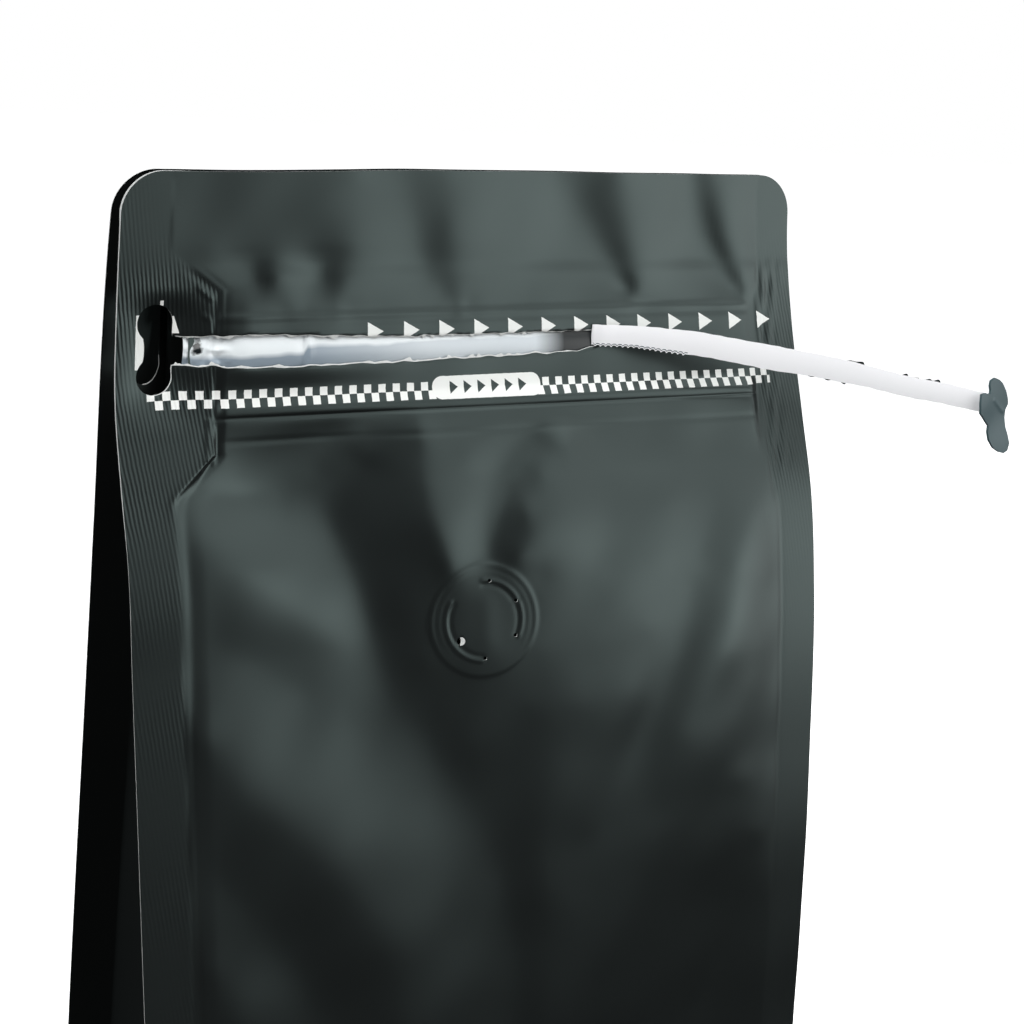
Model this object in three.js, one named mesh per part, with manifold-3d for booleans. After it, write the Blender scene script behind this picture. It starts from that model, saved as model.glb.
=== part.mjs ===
// Stand-up coffee pouch with side gussets, four seal fins and a pocket zipper whose tear strip is half peeled.
// Millimetres, +Z up. The front panel faces -Y. The origin is the middle of the flat base.
import * as THREE from 'three';
import { mergeVertices } from 'three/addons/utils/BufferGeometryUtils.js';
import Module from 'manifold-3d';

// Overall size
const WIDTH = 135;
const HEIGHT = 265;
const BASE_DEPTH = 76;
const CORNER_RADIUS = 7;

// Seal fins along the four upright edges
const SEAL = 8.5;
const FIN_THICKNESS = 0.8;
const FIN_FILLET = 0.6;

// Side profile: where the front and back panels stand at a few heights
const FRONT_PROFILE = [[0, -BASE_DEPTH / 2], [100, -25.2], [200, -13.2], [234, -4.6], [HEIGHT, -2.9]];
const BACK_PROFILE = [[0, BASE_DEPTH / 2], [100, 25], [200, 8], [245, 0.4], [HEIGHT, -0.5]];

// Gusset fold: how far of its full reach it is pressed in, and the gap in which the fold dies out at the top
const FOLD_SHARE = 0.75;
const FOLD_CLOSED_GAP = 2.6;
const FOLD_OPEN_GAP = 12;

// Mesh steps across, through and up the pouch, with rows closer together towards the top
const STEPS = { across: 26, through: 6, up: 40 };
const LAST_FRONT_ROW = 2;
const ROW_CROWDING = 1.35;

// Large dents of the slack front panel, as lines in its x and z with a depth and a reach to each side
const DENTS = [
  { from: [-31, 219], to: [-18, 168], depth: 4.2, left: 11, right: 9 },
  { from: [14, 217], to: [2, 203], depth: 1.6, left: 5, right: 5 },
  { from: [34, 190], to: [24, 146], depth: 2.4, left: 9, right: 8 },
  { from: [-56, 168], to: [-30, 112], depth: 3.2, left: 10, right: 12 },
  { from: [40, 120], to: [10, 70], depth: 2.6, left: 14, right: 14 },
];
const DENT_FREE_BAND = [221, 243];
const DENT_FADE = 12;

// Pocket zipper: two embossed ridges across the front
const ZIPPER_RIDGE_HEIGHTS = [224.4, 240.6];
const ZIPPER_RIDGE_SPAN = [-51, 57];
const ZIPPER_RIDGE_RADIUS = 0.8;
const ZIPPER_RIDGE_SINK = 0.3;

// Degassing valve under the film
const VALVE_CENTRE = [-3.7, 188.3];
const VALVE_RADIUS = 10.6;
const VALVE_RIM = 1.2;
const VALVE_INNER_RADIUS = 7.7;
const VALVE_SINK = 4;

// Torn window in the front panel and the inner film that shows in it
const WINDOW = { left: -56, right: 21, leftLow: 232.7, leftHigh: 238.2, rightLow: 233.3, rightHigh: 237.1 };
const WINDOW_FLOOR = -3.3;
const FILM_THICKNESS = 0.6;
const GAP = 0.3;

// Bone-shaped tab, and the hole that it left in the left seal
const TAB_LOBE_RADIUS = 3.1;
const TAB_LOBE_OFFSET = 4.1;
const TAB_WAIST = 2.1;
const TAB_NECK_WIDTH = 4.4;
const TAB_NECK_REACH = 4.6;
const TAB_THICKNESS = 0.8;
const TAB_HOLE_CENTRE = [-60.6, 235.7];
const TAB_HOLE_DEPTH = 2.4;
const TAB_CENTRE = [95.6, -33.4, 223.8];
const TAB_LEAN = -0.11;
const TAB_TURN = 0.14;

// Peeled tear strip: from its fold at the window's end out to the tab
const STRIP_PATH = [[21.6, -5.9, 235.3], [39.6, -12.8, 234.4], [62.8, -22.1, 230.8], [90.9, -33.5, 225.4]];
const STRIP_WIDTH = 4.6;
const STRIP_THICKNESS = 0.6;
const STRIP_STEPS = 24;

const wasm = await Module();
wasm.setup();

function material(colour, roughness, metalness = 0) {
  return new THREE.MeshStandardMaterial({ color: colour, roughness, metalness });
}

// Joins and cuts work on closed meshes that hold positions alone
function toSolid(geometry) {
  const bare = geometry.clone();
  bare.deleteAttribute('normal');
  bare.deleteAttribute('uv');
  const merged = mergeVertices(bare, 1e-4);
  const vertProperties = new Float32Array(merged.attributes.position.array);
  const triVerts = new Uint32Array(merged.index.array);
  return new wasm.Manifold(new wasm.Mesh({ numProp: 3, vertProperties, triVerts }));
}

function toGeometry(solid) {
  const mesh = solid.getMesh();
  const geometry = new THREE.BufferGeometry();
  geometry.setAttribute('position', new THREE.BufferAttribute(new Float32Array(mesh.vertProperties), 3));
  geometry.setIndex(new THREE.BufferAttribute(new Uint32Array(mesh.triVerts), 1));
  geometry.computeVertexNormals();
  return geometry;
}

// A unit box whose points are moved by place(u, v, w), each from -0.5 to 0.5
function shapedBox(across, through, up, place) {
  const geometry = new THREE.BoxGeometry(1, 1, 1, across, through, up);
  const positions = geometry.attributes.position;
  const point = new THREE.Vector3();
  for (let i = 0; i < positions.count; i += 1) {
    point.fromBufferAttribute(positions, i);
    const moved = place(point.x, point.y, point.z);
    positions.setXYZ(i, moved[0], moved[1], moved[2]);
  }
  geometry.computeVertexNormals();
  return geometry;
}

// Smooth curve through the stations of a side profile
function profileAt(stations, z) {
  const last = stations.length - 2;
  let k = 0;
  while (k < last && z > stations[k + 1][0]) k += 1;
  const slopeAt = (i) => {
    const low = stations[Math.max(i - 1, 0)];
    const high = stations[Math.min(i + 1, stations.length - 1)];
    return (high[1] - low[1]) / (high[0] - low[0]);
  };
  const [z0, y0] = stations[k];
  const [z1, y1] = stations[k + 1];
  const span = z1 - z0;
  const t = (z - z0) / span;
  const rise = (t * t) * (3 - 2 * t);
  const leave = t * (1 - t) * (1 - t) * span * slopeAt(k);
  const arrive = t * t * (t - 1) * span * slopeAt(k + 1);
  return y0 + (y1 - y0) * rise + leave + arrive;
}

const smooth = THREE.MathUtils.smoothstep;

// Inward depth of the front panel's dents at one of its points
function dentAt(x, z) {
  let depth = 0;
  for (const dent of DENTS) {
    const [ax, az] = dent.from;
    const [bx, bz] = dent.to;
    const length = Math.hypot(bx - ax, bz - az);
    const along = ((x - ax) * (bx - ax) + (z - az) * (bz - az)) / length;
    const beside = ((x - ax) * (az - bz) + (z - az) * (bx - ax)) / length;
    const reach = beside < 0 ? dent.left : dent.right;
    const past = Math.max(-along, along - length, 0);
    depth += dent.depth * Math.exp(-((beside / reach) ** 2) - (past / dent.left) ** 2);
  }
  const inset = smooth(WIDTH / 2 - SEAL - Math.abs(x), 0, DENT_FADE);
  const below = smooth(DENT_FREE_BAND[0] - z, 0, DENT_FADE);
  const aboveBase = smooth(z, 0, 3 * DENT_FADE);
  return depth * inset * below * aboveBase;
}

function frontAt(x, z) {
  return profileAt(FRONT_PROFILE, z) + dentAt(x, z);
}

// Half the pouch's width at a height, with its two top corners rounded
function halfWidthAt(z) {
  const over = Math.max(z - (HEIGHT - CORNER_RADIUS), 0);
  return WIDTH / 2 - CORNER_RADIUS + Math.sqrt(CORNER_RADIUS ** 2 - over ** 2);
}

// Section of the pouch at a height, from front to back: front fin, its root, gusset fold, root, back fin
function sectionAt(z) {
  const front = profileAt(FRONT_PROFILE, z);
  const back = profileAt(BACK_PROFILE, z);
  const middle = (front + back) / 2;
  const gap = back - front;
  const opened = smooth(gap, FOLD_CLOSED_GAP, FOLD_OPEN_GAP);
  const edge = halfWidthAt(z);
  const root = edge - SEAL * opened;
  const reach = Math.sqrt(Math.max(BASE_DEPTH ** 2 - gap ** 2, 0)) / 2;
  const fold = root - FOLD_SHARE * reach * opened;
  const finBack = front + FIN_THICKNESS;
  const finFront = back - FIN_THICKNESS;
  const fillet = Math.min(FIN_FILLET, FIN_FILLET * (middle - finBack));
  return {
    root,
    depths: [front, finBack, finBack + fillet, middle, finFront - fillet, finFront, back],
    widths: [edge, edge, root, fold, root, edge, edge],
  };
}

// One point of the pouch: the outermost column of the mesh is the seal, and the rest divide the panel
function pouchPoint(u, v, w) {
  const z = HEIGHT * (1 - (0.5 - w) ** ROW_CROWDING);
  const { root, depths, widths } = sectionAt(z);
  const row = Math.round((v + 0.5) * STEPS.through);
  const column = Math.round(Math.abs(u) * STEPS.across);
  const outermost = STEPS.across / 2;
  const panel = Math.min(root, widths[row]) / (outermost - 0.5);
  const x = Math.sign(u) * (column === outermost ? widths[row] : column * panel);
  const dent = row <= LAST_FRONT_ROW ? dentAt(x, z) : 0;
  return [x, depths[row] + dent, z];
}

function extrudeAlongY(shape, near, far) {
  const geometry = new THREE.ExtrudeGeometry(shape, { depth: far - near, bevelEnabled: false, curveSegments: 10 });
  geometry.rotateX(Math.PI / 2);
  geometry.translate(0, far, 0);
  return geometry;
}

// Bone outline in x and z about its middle: two round lobes, a waist on the left and a neck on the right
function boneShape(grow) {
  const lobe = TAB_LOBE_RADIUS + grow;
  const neck = TAB_NECK_WIDTH / 2 + grow;
  const shape = new THREE.Shape();
  shape.moveTo(TAB_NECK_REACH, -neck);
  shape.lineTo(TAB_NECK_REACH, neck);
  shape.lineTo(lobe, neck);
  shape.lineTo(lobe, TAB_LOBE_OFFSET);
  shape.absarc(0, TAB_LOBE_OFFSET, lobe, 0, Math.PI, false);
  shape.quadraticCurveTo(-lobe, TAB_WAIST, -TAB_WAIST - grow, 0);
  shape.quadraticCurveTo(-lobe, -TAB_WAIST, -lobe, -TAB_LOBE_OFFSET);
  shape.absarc(0, -TAB_LOBE_OFFSET, lobe, Math.PI, 2 * Math.PI, false);
  shape.lineTo(lobe, -neck);
  shape.closePath();
  return shape;
}

// Window outline in x and z, drawn in by a margin
function windowShape(margin) {
  const shape = new THREE.Shape();
  shape.moveTo(WINDOW.left + margin, WINDOW.leftLow + margin);
  shape.lineTo(WINDOW.right - margin, WINDOW.rightLow + margin);
  shape.lineTo(WINDOW.right - margin, WINDOW.rightHigh - margin);
  shape.lineTo(WINDOW.left + margin, WINDOW.leftHigh - margin);
  shape.closePath();
  return shape;
}

function zipperRidge(z) {
  const [start, end] = ZIPPER_RIDGE_SPAN;
  const geometry = new THREE.CylinderGeometry(ZIPPER_RIDGE_RADIUS, ZIPPER_RIDGE_RADIUS, end - start, 10);
  geometry.rotateZ(Math.PI / 2);
  geometry.translate((start + end) / 2, profileAt(FRONT_PROFILE, z) + ZIPPER_RIDGE_SINK, z);
  return geometry;
}

// Valve relief: a low disc with a raised outer rim and a raised inner ring
function valveRelief() {
  const rim = VALVE_RADIUS;
  const ring = VALVE_INNER_RADIUS;
  const profile = [
    [0, -VALVE_SINK], [rim, -VALVE_SINK], [rim, 0.2], [rim - 0.4, VALVE_RIM], [rim - 1.2, VALVE_RIM],
    [rim - 1.6, 0.6], [ring + 0.7, 0.6], [ring, VALVE_RIM], [ring - 0.7, 0.7], [0, 0.7],
  ];
  const points = profile.map(([r, h]) => new THREE.Vector2(r, h));
  const geometry = new THREE.LatheGeometry(points, 32);
  const [x, z] = VALVE_CENTRE;
  const lean = Math.atan2(profileAt(FRONT_PROFILE, z + 1) - profileAt(FRONT_PROFILE, z - 1), 2);
  geometry.rotateX(Math.PI - lean);
  geometry.translate(x, frontAt(x, z), z);
  return geometry;
}

function makePouch() {
  let solid = toSolid(shapedBox(STEPS.across, STEPS.through, STEPS.up, pouchPoint));
  for (const z of ZIPPER_RIDGE_HEIGHTS) solid = solid.add(toSolid(zipperRidge(z)));
  solid = solid.add(toSolid(valveRelief()));
  const front = FRONT_PROFILE[0][1];
  solid = solid.subtract(toSolid(extrudeAlongY(windowShape(0), front, WINDOW_FLOOR)));
  const hole = extrudeAlongY(boneShape(0), front, profileAt(FRONT_PROFILE, TAB_HOLE_CENTRE[1]) + TAB_HOLE_DEPTH);
  hole.translate(TAB_HOLE_CENTRE[0], 0, TAB_HOLE_CENTRE[1]);
  solid = solid.subtract(toSolid(hole));
  return toGeometry(solid);
}

function makeFilm() {
  const back = WINDOW_FLOOR - GAP;
  return extrudeAlongY(windowShape(GAP), back - FILM_THICKNESS, back);
}

function makeStrip() {
  const curve = new THREE.CatmullRomCurve3(STRIP_PATH.map((p) => new THREE.Vector3(...p)));
  const up = new THREE.Vector3(0, 0, 1);
  return shapedBox(STRIP_STEPS, 1, 1, (u, v, w) => {
    const along = curve.getTangentAt(u + 0.5);
    const facing = new THREE.Vector3().crossVectors(up, along).normalize();
    const tall = new THREE.Vector3().crossVectors(along, facing);
    const point = curve.getPointAt(u + 0.5);
    point.addScaledVector(facing, v * STRIP_THICKNESS).addScaledVector(tall, w * STRIP_WIDTH);
    return point.toArray();
  });
}

function makeTab() {
  const geometry = extrudeAlongY(boneShape(-GAP), -TAB_THICKNESS / 2, TAB_THICKNESS / 2);
  geometry.scale(-1, -1, 1);
  geometry.rotateY(TAB_LEAN);
  geometry.rotateZ(TAB_TURN);
  geometry.translate(...TAB_CENTRE);
  return geometry;
}

const LAMINATE = 0x2b3132;
const WHITE_FILM = 0xe9ebec;

const pouch = new THREE.Group();
const pieces = [
  ['pouch', makePouch(), material(LAMINATE, 0.55)],
  ['zipper_film', makeFilm(), material(0xc9d1d6, 0.3)],
  ['tear_strip', makeStrip(), material(WHITE_FILM, 0.5)],
  ['pull_tab', makeTab(), material(0x4a5456, 0.55)],
];
for (const [name, geometry, finish] of pieces) {
  const mesh = new THREE.Mesh(geometry, finish);
  mesh.name = name;
  pouch.add(mesh);
}

export default pouch;
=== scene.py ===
"""Matte black stand-up coffee pouch with a half-peeled tear strip, on a white studio stage."""
import math
from types import SimpleNamespace

import bmesh
import bpy
import numpy as np
from mathutils import Matrix, Vector


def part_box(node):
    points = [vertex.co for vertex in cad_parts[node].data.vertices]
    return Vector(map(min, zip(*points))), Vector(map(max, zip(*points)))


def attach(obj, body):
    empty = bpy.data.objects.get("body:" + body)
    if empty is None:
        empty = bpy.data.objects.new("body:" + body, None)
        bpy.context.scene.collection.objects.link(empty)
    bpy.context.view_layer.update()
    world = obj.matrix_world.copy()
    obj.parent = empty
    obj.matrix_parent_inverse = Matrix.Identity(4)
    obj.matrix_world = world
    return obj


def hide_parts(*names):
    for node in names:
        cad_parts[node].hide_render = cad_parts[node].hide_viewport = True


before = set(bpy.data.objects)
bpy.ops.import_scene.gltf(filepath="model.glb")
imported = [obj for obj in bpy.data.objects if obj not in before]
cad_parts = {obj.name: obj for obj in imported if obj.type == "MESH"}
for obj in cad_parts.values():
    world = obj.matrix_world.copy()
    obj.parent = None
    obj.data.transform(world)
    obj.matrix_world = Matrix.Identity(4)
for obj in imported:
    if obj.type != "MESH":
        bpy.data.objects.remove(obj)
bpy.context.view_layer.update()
POUCH_LOW, POUCH_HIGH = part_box("pouch")

bl_info = {
    "name": "Coffee Pouch",
    "version": (1, 0, 0),
    "blender": (4, 5, 0),
    "location": "3D View > Sidebar > Pouch",
    "description": "Builds a matte black stand-up coffee pouch with a half-peeled tear strip",
    "category": "Object",
}

MM = 0.001

# Side runs of the panels: height and depth of each panel's left and right edge, in millimetres
FRONT_LEFT = (
    (0, -38), (50, -31.6), (98, -25), (127, -21.3), (158, -17.6), (184, -14.4), (200, -12.6), (214, -8.8),
    (228, -5.3), (241, -4.8), (253, -4.9), (265, -4.9))
FRONT_RIGHT = (
    (0, -38), (50, -30.6), (98, -25), (112, -24.5), (125, -23.8), (138, -23.1), (155, -21.6), (187, -18.1),
    (206, -14.2), (220, -9.3), (238, -3.8), (254, -1.4), (265, -0.9))
BACK_LEFT = (
    (0, 38), (50, 31.8), (102, 25.2), (137, 19.3), (168, 13.7), (199, 8.3), (224, 4.2), (245, 2.2),
    (257, 0.7), (265, -0.7))
BACK_RIGHT = (
    (0, 38), (50, 31.5), (102, 24.6), (137, 19), (168, 13.3), (199, 8), (224, 3.7), (245, 2.0),
    (257, 1.0), (265, 0.6))
# How far each upright edge draws in towards the top, and how much lower the top edge's left end is cut
LEFT_TAPER = ((0, 0), (205, 0), (228, 0), (245, 0.5), (265, 1.3))
RIGHT_TAPER = ((0, 0), (200, 0), (222, 0), (238, 0.5), (250, 1.3), (265, 1.9))
TOP_CUT = 0.75

# Crest and trough lines of the slack front film: x, z and rise of each point, in millimetres
FRONT_FOLDS = (
    # Long trough from the zipper past the valve's left, and the slope beside it
    ((-33, 214.5, -2.5), (-32.5, 209.5, -3.1), (-31, 205.5, -3.3), (-28.2, 199.4, -2.7), (-25.7, 191.5, -1.9),
     (-24.3, 185.3, -1.5), (-22.5, 178.1, -1.2), (-20, 173.5, -0.9), (-16, 167.9, -0.6), (-10.5, 160.1, -0.3),
     (-5, 152, -0.1), (-1, 141, -0.1), (2, 127, 0), (3, 112, 0), (3, 97, 0)),
    ((-25, 218, -1.0), (-25, 215, -1.5), (-24.5, 207, -1.7), (-22, 199.4, -1.4), (-19.5, 191.5, -0.8),
     (-16, 182, -0.2), (-12, 173, 0.1), (-7, 166, 0.3)),
    # Pleats between the zipper and the valve, and the film over the valve
    ((-17, 220, 0.2), (-17.2, 213, 0.4), (-17.2, 206, 0.4), (-14.2, 198, 0.4)),
    ((-14.4, 220, 0.6), (-14.7, 213, 0.9), (-14.8, 206, 1.0), (-11.5, 198, 1.0)),
    ((-6, 217, 0.7), (-7, 208, 0.9)),
    ((8.3, 218, 0.3), (3.5, 213, 0.6), (-1.3, 206.5, 0.6), (-3.4, 199.8, 0.8)),
    ((13.1, 218, 1.1), (8.1, 213, 1.6), (3.4, 206.5, 1.9), (1.3, 199.8, 1.9)),
    ((-11, 190, 0.5), (-8, 180, 0.8)),
    ((-3.7, 196, 1.1), (-3.7, 182, 1.3), (-3.7, 172, 0.9)),
    ((6, 195, 2.0), (5.5, 183, 2.0), (4, 172, 1.6), (0, 160, 0.6)),
    # Bulge of the right half, with a slanting trough and crest, down to the right seal
    ((22, 212, 1.2), (19, 202, 2.0), (18, 194, 2.4), (17, 183, 2.5), (14, 172, 2.2), (9, 160, 1.5),
     (6, 148, 0.9), (8, 130, 0.6), (8, 110, 0.4), (8, 90, 0.2)),
    ((34, 207, 1.3), (31, 196, 2.2), (28, 184, 2.5), (24, 172, 2.3), (20, 160, 1.8), (17, 148, 1.3)),
    ((57, 200, 0.5), (55.5, 192, 1.1), (54, 184.7, 1.4), (53, 177.3, 1.6), (51.5, 170.2, 1.8),
     (50.5, 163, 1.7)),
    ((44, 203, 1.1), (38.5, 194, 1.9), (36.8, 184.7, 2.2), (34.5, 177.3, 2.2), (30.2, 170.2, 2.0),
     (26.7, 163, 1.7), (24, 155.6, 1.5), (21, 148, 1.2), (15, 136, 0.9)),
    ((53, 203, 1.1), (48, 194, 2.4), (46.5, 184.7, 2.9), (44.5, 177.3, 3.0), (40.2, 170.2, 2.9),
     (36.7, 163, 2.7), (34, 155.6, 2.3), (31, 148.3, 1.8), (26, 136, 1.3), (22, 120, 0.8)),
    ((58.4, 156.5, 0.2), (50.1, 152.5, 1.5), (44.4, 143.5, 1.1), (41.2, 131, 0.3), (37, 115, -0.4)),
    ((55, 140, 0.4), (52, 128, -0.5), (49, 115, -1.3), (47, 98, -1.7), (46, 80, -1.4)),
    # Slanting folds of the left half
    ((-55, 211.5, -0.7), (-51, 212, -1.6), (-46, 211.4, -2.6), (-40.5, 209.5, -3.1), (-35.5, 207, -3.3)),
    ((-55.5, 206.5, -0.4), (-47.5, 200, -0.55), (-38.9, 192.5, -0.9), (-31, 186, -1.3)),
    ((-55, 190, -0.3), (-46, 184, -0.75), (-38, 178, -1.05), (-30, 172, -1.1)),
    ((-57, 173, 0.1), (-50.3, 163.9, 0.3), (-39.8, 153.5, 0.5), (-28.8, 140.8, 0.7), (-24, 130.7, 0.8),
     (-20, 112, 0.7), (-18, 95, 0.4)),
    ((-57, 152, 0), (-50, 144, -0.2), (-40, 130, -0.3), (-33, 115, -0.3), (-28, 100, -0.25)),
    ((-57, 133, 0.2), (-51.8, 123.8, 0.35), (-47, 110, 0.35)),
    # Waves of the lip above the zipper, and small dents over the window
    ((-18, 264.3, 0.45), (-15, 255.4, 0.1), (-13, 248.6, -0.2), (-8.2, 241.9, 0)),
    ((-9.4, 264.4, 0.7), (-8.2, 255.4, 0.6), (-7, 249.7, 0.35), (-5.5, 241.5, 0.05)),
    ((-53, 264, 0.1), (-52, 252, 0.1)),
    ((-27, 264, 0.95), (-27, 252, 0.6)),
    ((13.6, 264.8, -0.45), (22.6, 254.3, -0.5), (29.7, 244, -0.2)),
    ((27, 265, 0.75), (29.3, 254.3, 0.5), (31.1, 243.4, 0.1)),
    ((43.7, 265.3, -0.2), (48.4, 254.3, -0.3), (55, 243.6, -0.1)),
    ((48.3, 265.3, 0.3), (51.4, 254.3, 0.3), (56.3, 243, 0.1)),
    ((-44.1, 247, -0.25), (-45, 241.9, 0)),
    ((-41.2, 247.6, 0.3), (-37.3, 241.8, 0.05)),
    ((-32.6, 247.5, -0.2), (-33, 241.7, 0)),
    ((-28.8, 246.6, 0.25), (-28.9, 241.6, 0.05)),
)
# Lines that hold the front film down: side seals, zipper pocket and base
FRONT_STILL = (
    ((-59, 10, 0), (-59, 165, 0), (-59, 180, -0.2), (-59, 205, -0.25), (-59, 217, -0.4), (-59, 225, 0),
     (-59, 262, 0)),
    ((60, 10, 0), (60, 262, 0)),
    ((-50, 222, -0.4), (-44, 222, -0.5), (-38, 222, -0.6), (-31, 222, -0.7), (-24, 222, -0.4),
     (-17, 222, 0.1), (-14.5, 222, 0.4), (-8, 222, 0.3), (10, 222, 0), (58, 222, 0)),
    ((-50, 224.8, 0.1), (-15, 224.8, 0.1), (10, 224.8, 0), (57, 224.8, 0)),
    ((-50, 227.5, 0), (57, 227.5, 0)),
    ((-55, 232, 0), (58, 232, 0)),
    ((-52, 241.8, 0), (58, 241.8, 0)),
    ((-55, 8, 0), (55, 8, 0)),
)
FOLD_STEP = 2.6
FOLD_SOFTNESS = 1.8
FOLD_SLACK = 0.02

# Zipper pocket: foot, head and ends, the bead over the track, and lines of a height, rise and reach
POCKET_FOOT = 224.4
POCKET_HEAD = 240.8
POCKET_ENDS = (-51.0, 57.0)
POCKET_RISE = 0.22
BEAD_RISE = ((-60, 0.15), (-20, 0.3), (10, 0.7), (60, 0.85))
BEAD_SPAN = (212.4, POCKET_FOOT, 225.8, 228.2)
ZIPPER_LINES = ((POCKET_FOOT, -0.14, 0.3), (POCKET_HEAD, 0.2, 0.7), (220.5, -0.06, 0.5))

# Seals: inner edges of the side seals, the wide crushed seals at the zipper's ends, and their pressed shapes
SEAL_INNER = (-59.0, 60.0)
CRUSH_LEFT = ((210.5, -59.6), (212.8, -58), (218.6, -51.4), (245, -50.6), (250, -57), (252.5, -59.6))
CRUSH_RIGHT = ((204, 60.4), (207, 58.8), (242, 58.8), (246, 60.4))
CRUSH_SHARPENS = (211, 219)
CRUSH_SPAN = (209, 213, 247, 250)
CRUSH_SINK = 1.0
CRUSH_SINK_ACROSS = (-67.5, -60, -58.5, -50.5)
CRUSH_SINK_UP = (222, 231, 240, 246)
CRUSH_CREASES = (((-54.0, 245.8), (-51.9, 244.0)), ((-53.1, 241.3), (-52.0, 240.5), (-51.9, 238.5)),
                 ((-52.3, 224.3), (-52.9, 217.6)), ((-51.0, 223.7), (-51.6, 217.4)))
CREASE_RISE = 0.16
PRESS_WIDTH = 0.35
SEAL_BLUR = 0.3
SOFT_REACH = 2.0
RIGHT_REACH = 1.2
SHOULDER_RISE = 0.15
SHOULDER_REACH = 1.5
RIGHT_SHOULDER_RISE = 0.05

# Ribs that the seal bar leaves: lean, depth, and how strongly they show by height and on the right side
RIB_LEAN = math.radians(7)
RIB_DEPTH = 0.026 * MM
RIB_STRENGTH = ((0, 0.15), (160, 0.2), (191, 0.35), (205, 0.55), (213, 1.4), (228, 1.6), (240, 1.4),
                (246, 1.1), (251, 0.3), (265, 0.08))
RIGHT_RIB_SPAN = (203, 212, 240, 247)
RIGHT_RIB_SHARE = 0.35
BACK_RIB_SHARE = 0.35

# Degassing valve under the film: rims and ring by radius and rise, and pinholes about its centre
VALVE_CENTRE = (-4.9, 188.2)
VALVE_RIMS = ((9.8, 0.05), (8.4, 0.03))
VALVE_RING = ((7.1, 0.11, 0.35), (6.4, -0.07, 0.4))
VALVE_RING_ARCS = ((-28, 25), (28, 95), (148, 268))
VALVE_PINHOLES = (
    (-4.4, -3.4, 0.75), (6.0, 3.2, 0.36), (5.8, -3.0, 0.36), (1.0, 7.0, 0.36), (0.0, -6.7, 0.36))

# Torn window where the tear strip was: its ends, the heights of its edges and the lip of film along it
WINDOW_LEFT = -58.2
WINDOW_RIGHT = 22.0
WINDOW_LOW = ((-58, 233.2), (-55.9, 233.2), (-44.8, 232.6), (-17.4, 232.7), (18, 233.3), (22, 234.4))
WINDOW_HIGH = ((-58, 238.0), (-55.8, 237.9), (-44.6, 238.2), (-17.4, 237.1), (22, 237.0))
WINDOW_LIP = ((-58, 0), (-52, 0.5), (-46, 1.0), (-36, 0.9), (-20, 0.5), (-6, 0.2), (8, 0))
WINDOW_LIP_SPAN = (227.2, 233, 240, 252)

# Inner film in the window: its extent, roll and pleat, and where its shade, fade, painted shadow at the root
# and painted dark spot lie
FILM_LEFT = -56.1
FILM_HEIGHTS = (231.6, 239.0)
FILM_ROLL = SimpleNamespace(crest=235.3, half=3.7, rise=0.75)
FILM_PLEAT = SimpleNamespace(crest=-34.6, trough=-35.8, rise=0.3)
FILM_STEP = (-35.6, -35.0)
FILM_TRACK = (233.3, 234.2)
FILM_FADE = (-34.0, -12.0)
FILM_ROOT_SHADOW = (9.5, 15.5)
FILM_SPOT = (-54.0, 236.2)

# Hole that the pull tab left: two lobes with a waist, and the second layer's hole behind it
HOLE_X = -60.95
HOLE_LOBES = (231.5, 240.1)
HOLE_LOBE_RADIUS = 3.05
HOLE_RIGHT = -57.95
HOLE_WAIST = -62.65
HOLE_WAIST_CURVE = 0.062
SECOND_HOLE_SHIFT = (-0.75, 1.5)
SECOND_HOLE_DEPTH = 1.2
LINING_RIGHT = -57.0
PALE_LIP_LEFT = HOLE_X - 1.2
PALE_LIP_TOP = 234.3

# Printed band across the zipper: two rows of squares, a label field, rows of pointers and marks round the tab
CHECK_SIZE = (1.345, 1.42)
CHECK_START = -60.9
CHECK_MIDDLE = 227.6
CHECK_SPAN = (-62.2, 60.8)
LABEL_CENTRE = (-0.9, 228.0)
LABEL_HALF = (10.8, 1.95)
LABEL_ROUND = 1.8
POINTERS = SimpleNamespace(start=-24.0, pitch=6.92, count=13, wide=3.0, tall=3.2, middle=238.0)
LABEL_POINTERS = SimpleNamespace(start=-8.3, pitch=2.75, count=6, wide=1.6, tall=2.2, middle=228.0)
TAB_PRINT = ((-64.2, -61.4), (232.7, 241.5))
TAB_SLIVER = ((-58.6, -56.8), (238.4, 241.2))
TAB_SLIVER_LEAN = 0.34
TAB_NICK = ((-60.3, -59.7), (242.4, 243.8))

# Peeled strip: its path from the fold at the window's end to the tab, and its widths by share of its length
STRIP_PATH = (
    (23.4, -3.9, 236.1), (21.8, -4.0, 236.1), (21.1, -4.9, 236.2), (21.8, -6.0, 236.3), (25.4, -7.5, 236.3),
    (28.9, -8.9, 236.2), (34.6, -11.1, 235.7), (39.4, -13.0, 235.2), (43.4, -14.6, 234.6),
    (50.0, -17.2, 233.5), (66.2, -23.7, 230.9), (75.4, -27.3, 228.9), (84.7, -31.0, 227.2),
    (91.0, -33.5, 226.0))
STRIP_WIDTHS = ((0, 3.6), (0.1, 3.75), (0.25, 4.3), (0.5, 4.5), (0.75, 3.9), (1, 3.8))
STRIP_TEETH = SimpleNamespace(start=3.0, end=21.0, pitch=1.05, reach=0.3)
# Slivers of torn laminate: where each starts and ends as shares of the strip, its edge and its reach
STRIP_SPLINTERS = (
    (0.629, 0.69, 1, 0.5), (0.766, 0.8, 1, 0.4), (0.8, 0.83, 1, 0.2), (0.83, 0.885, 1, 0.5),
    (0.55, 0.58, -1, 0.35), (0.592, 0.62, -1, 0.35), (0.635, 0.658, -1, 0.5))

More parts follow.
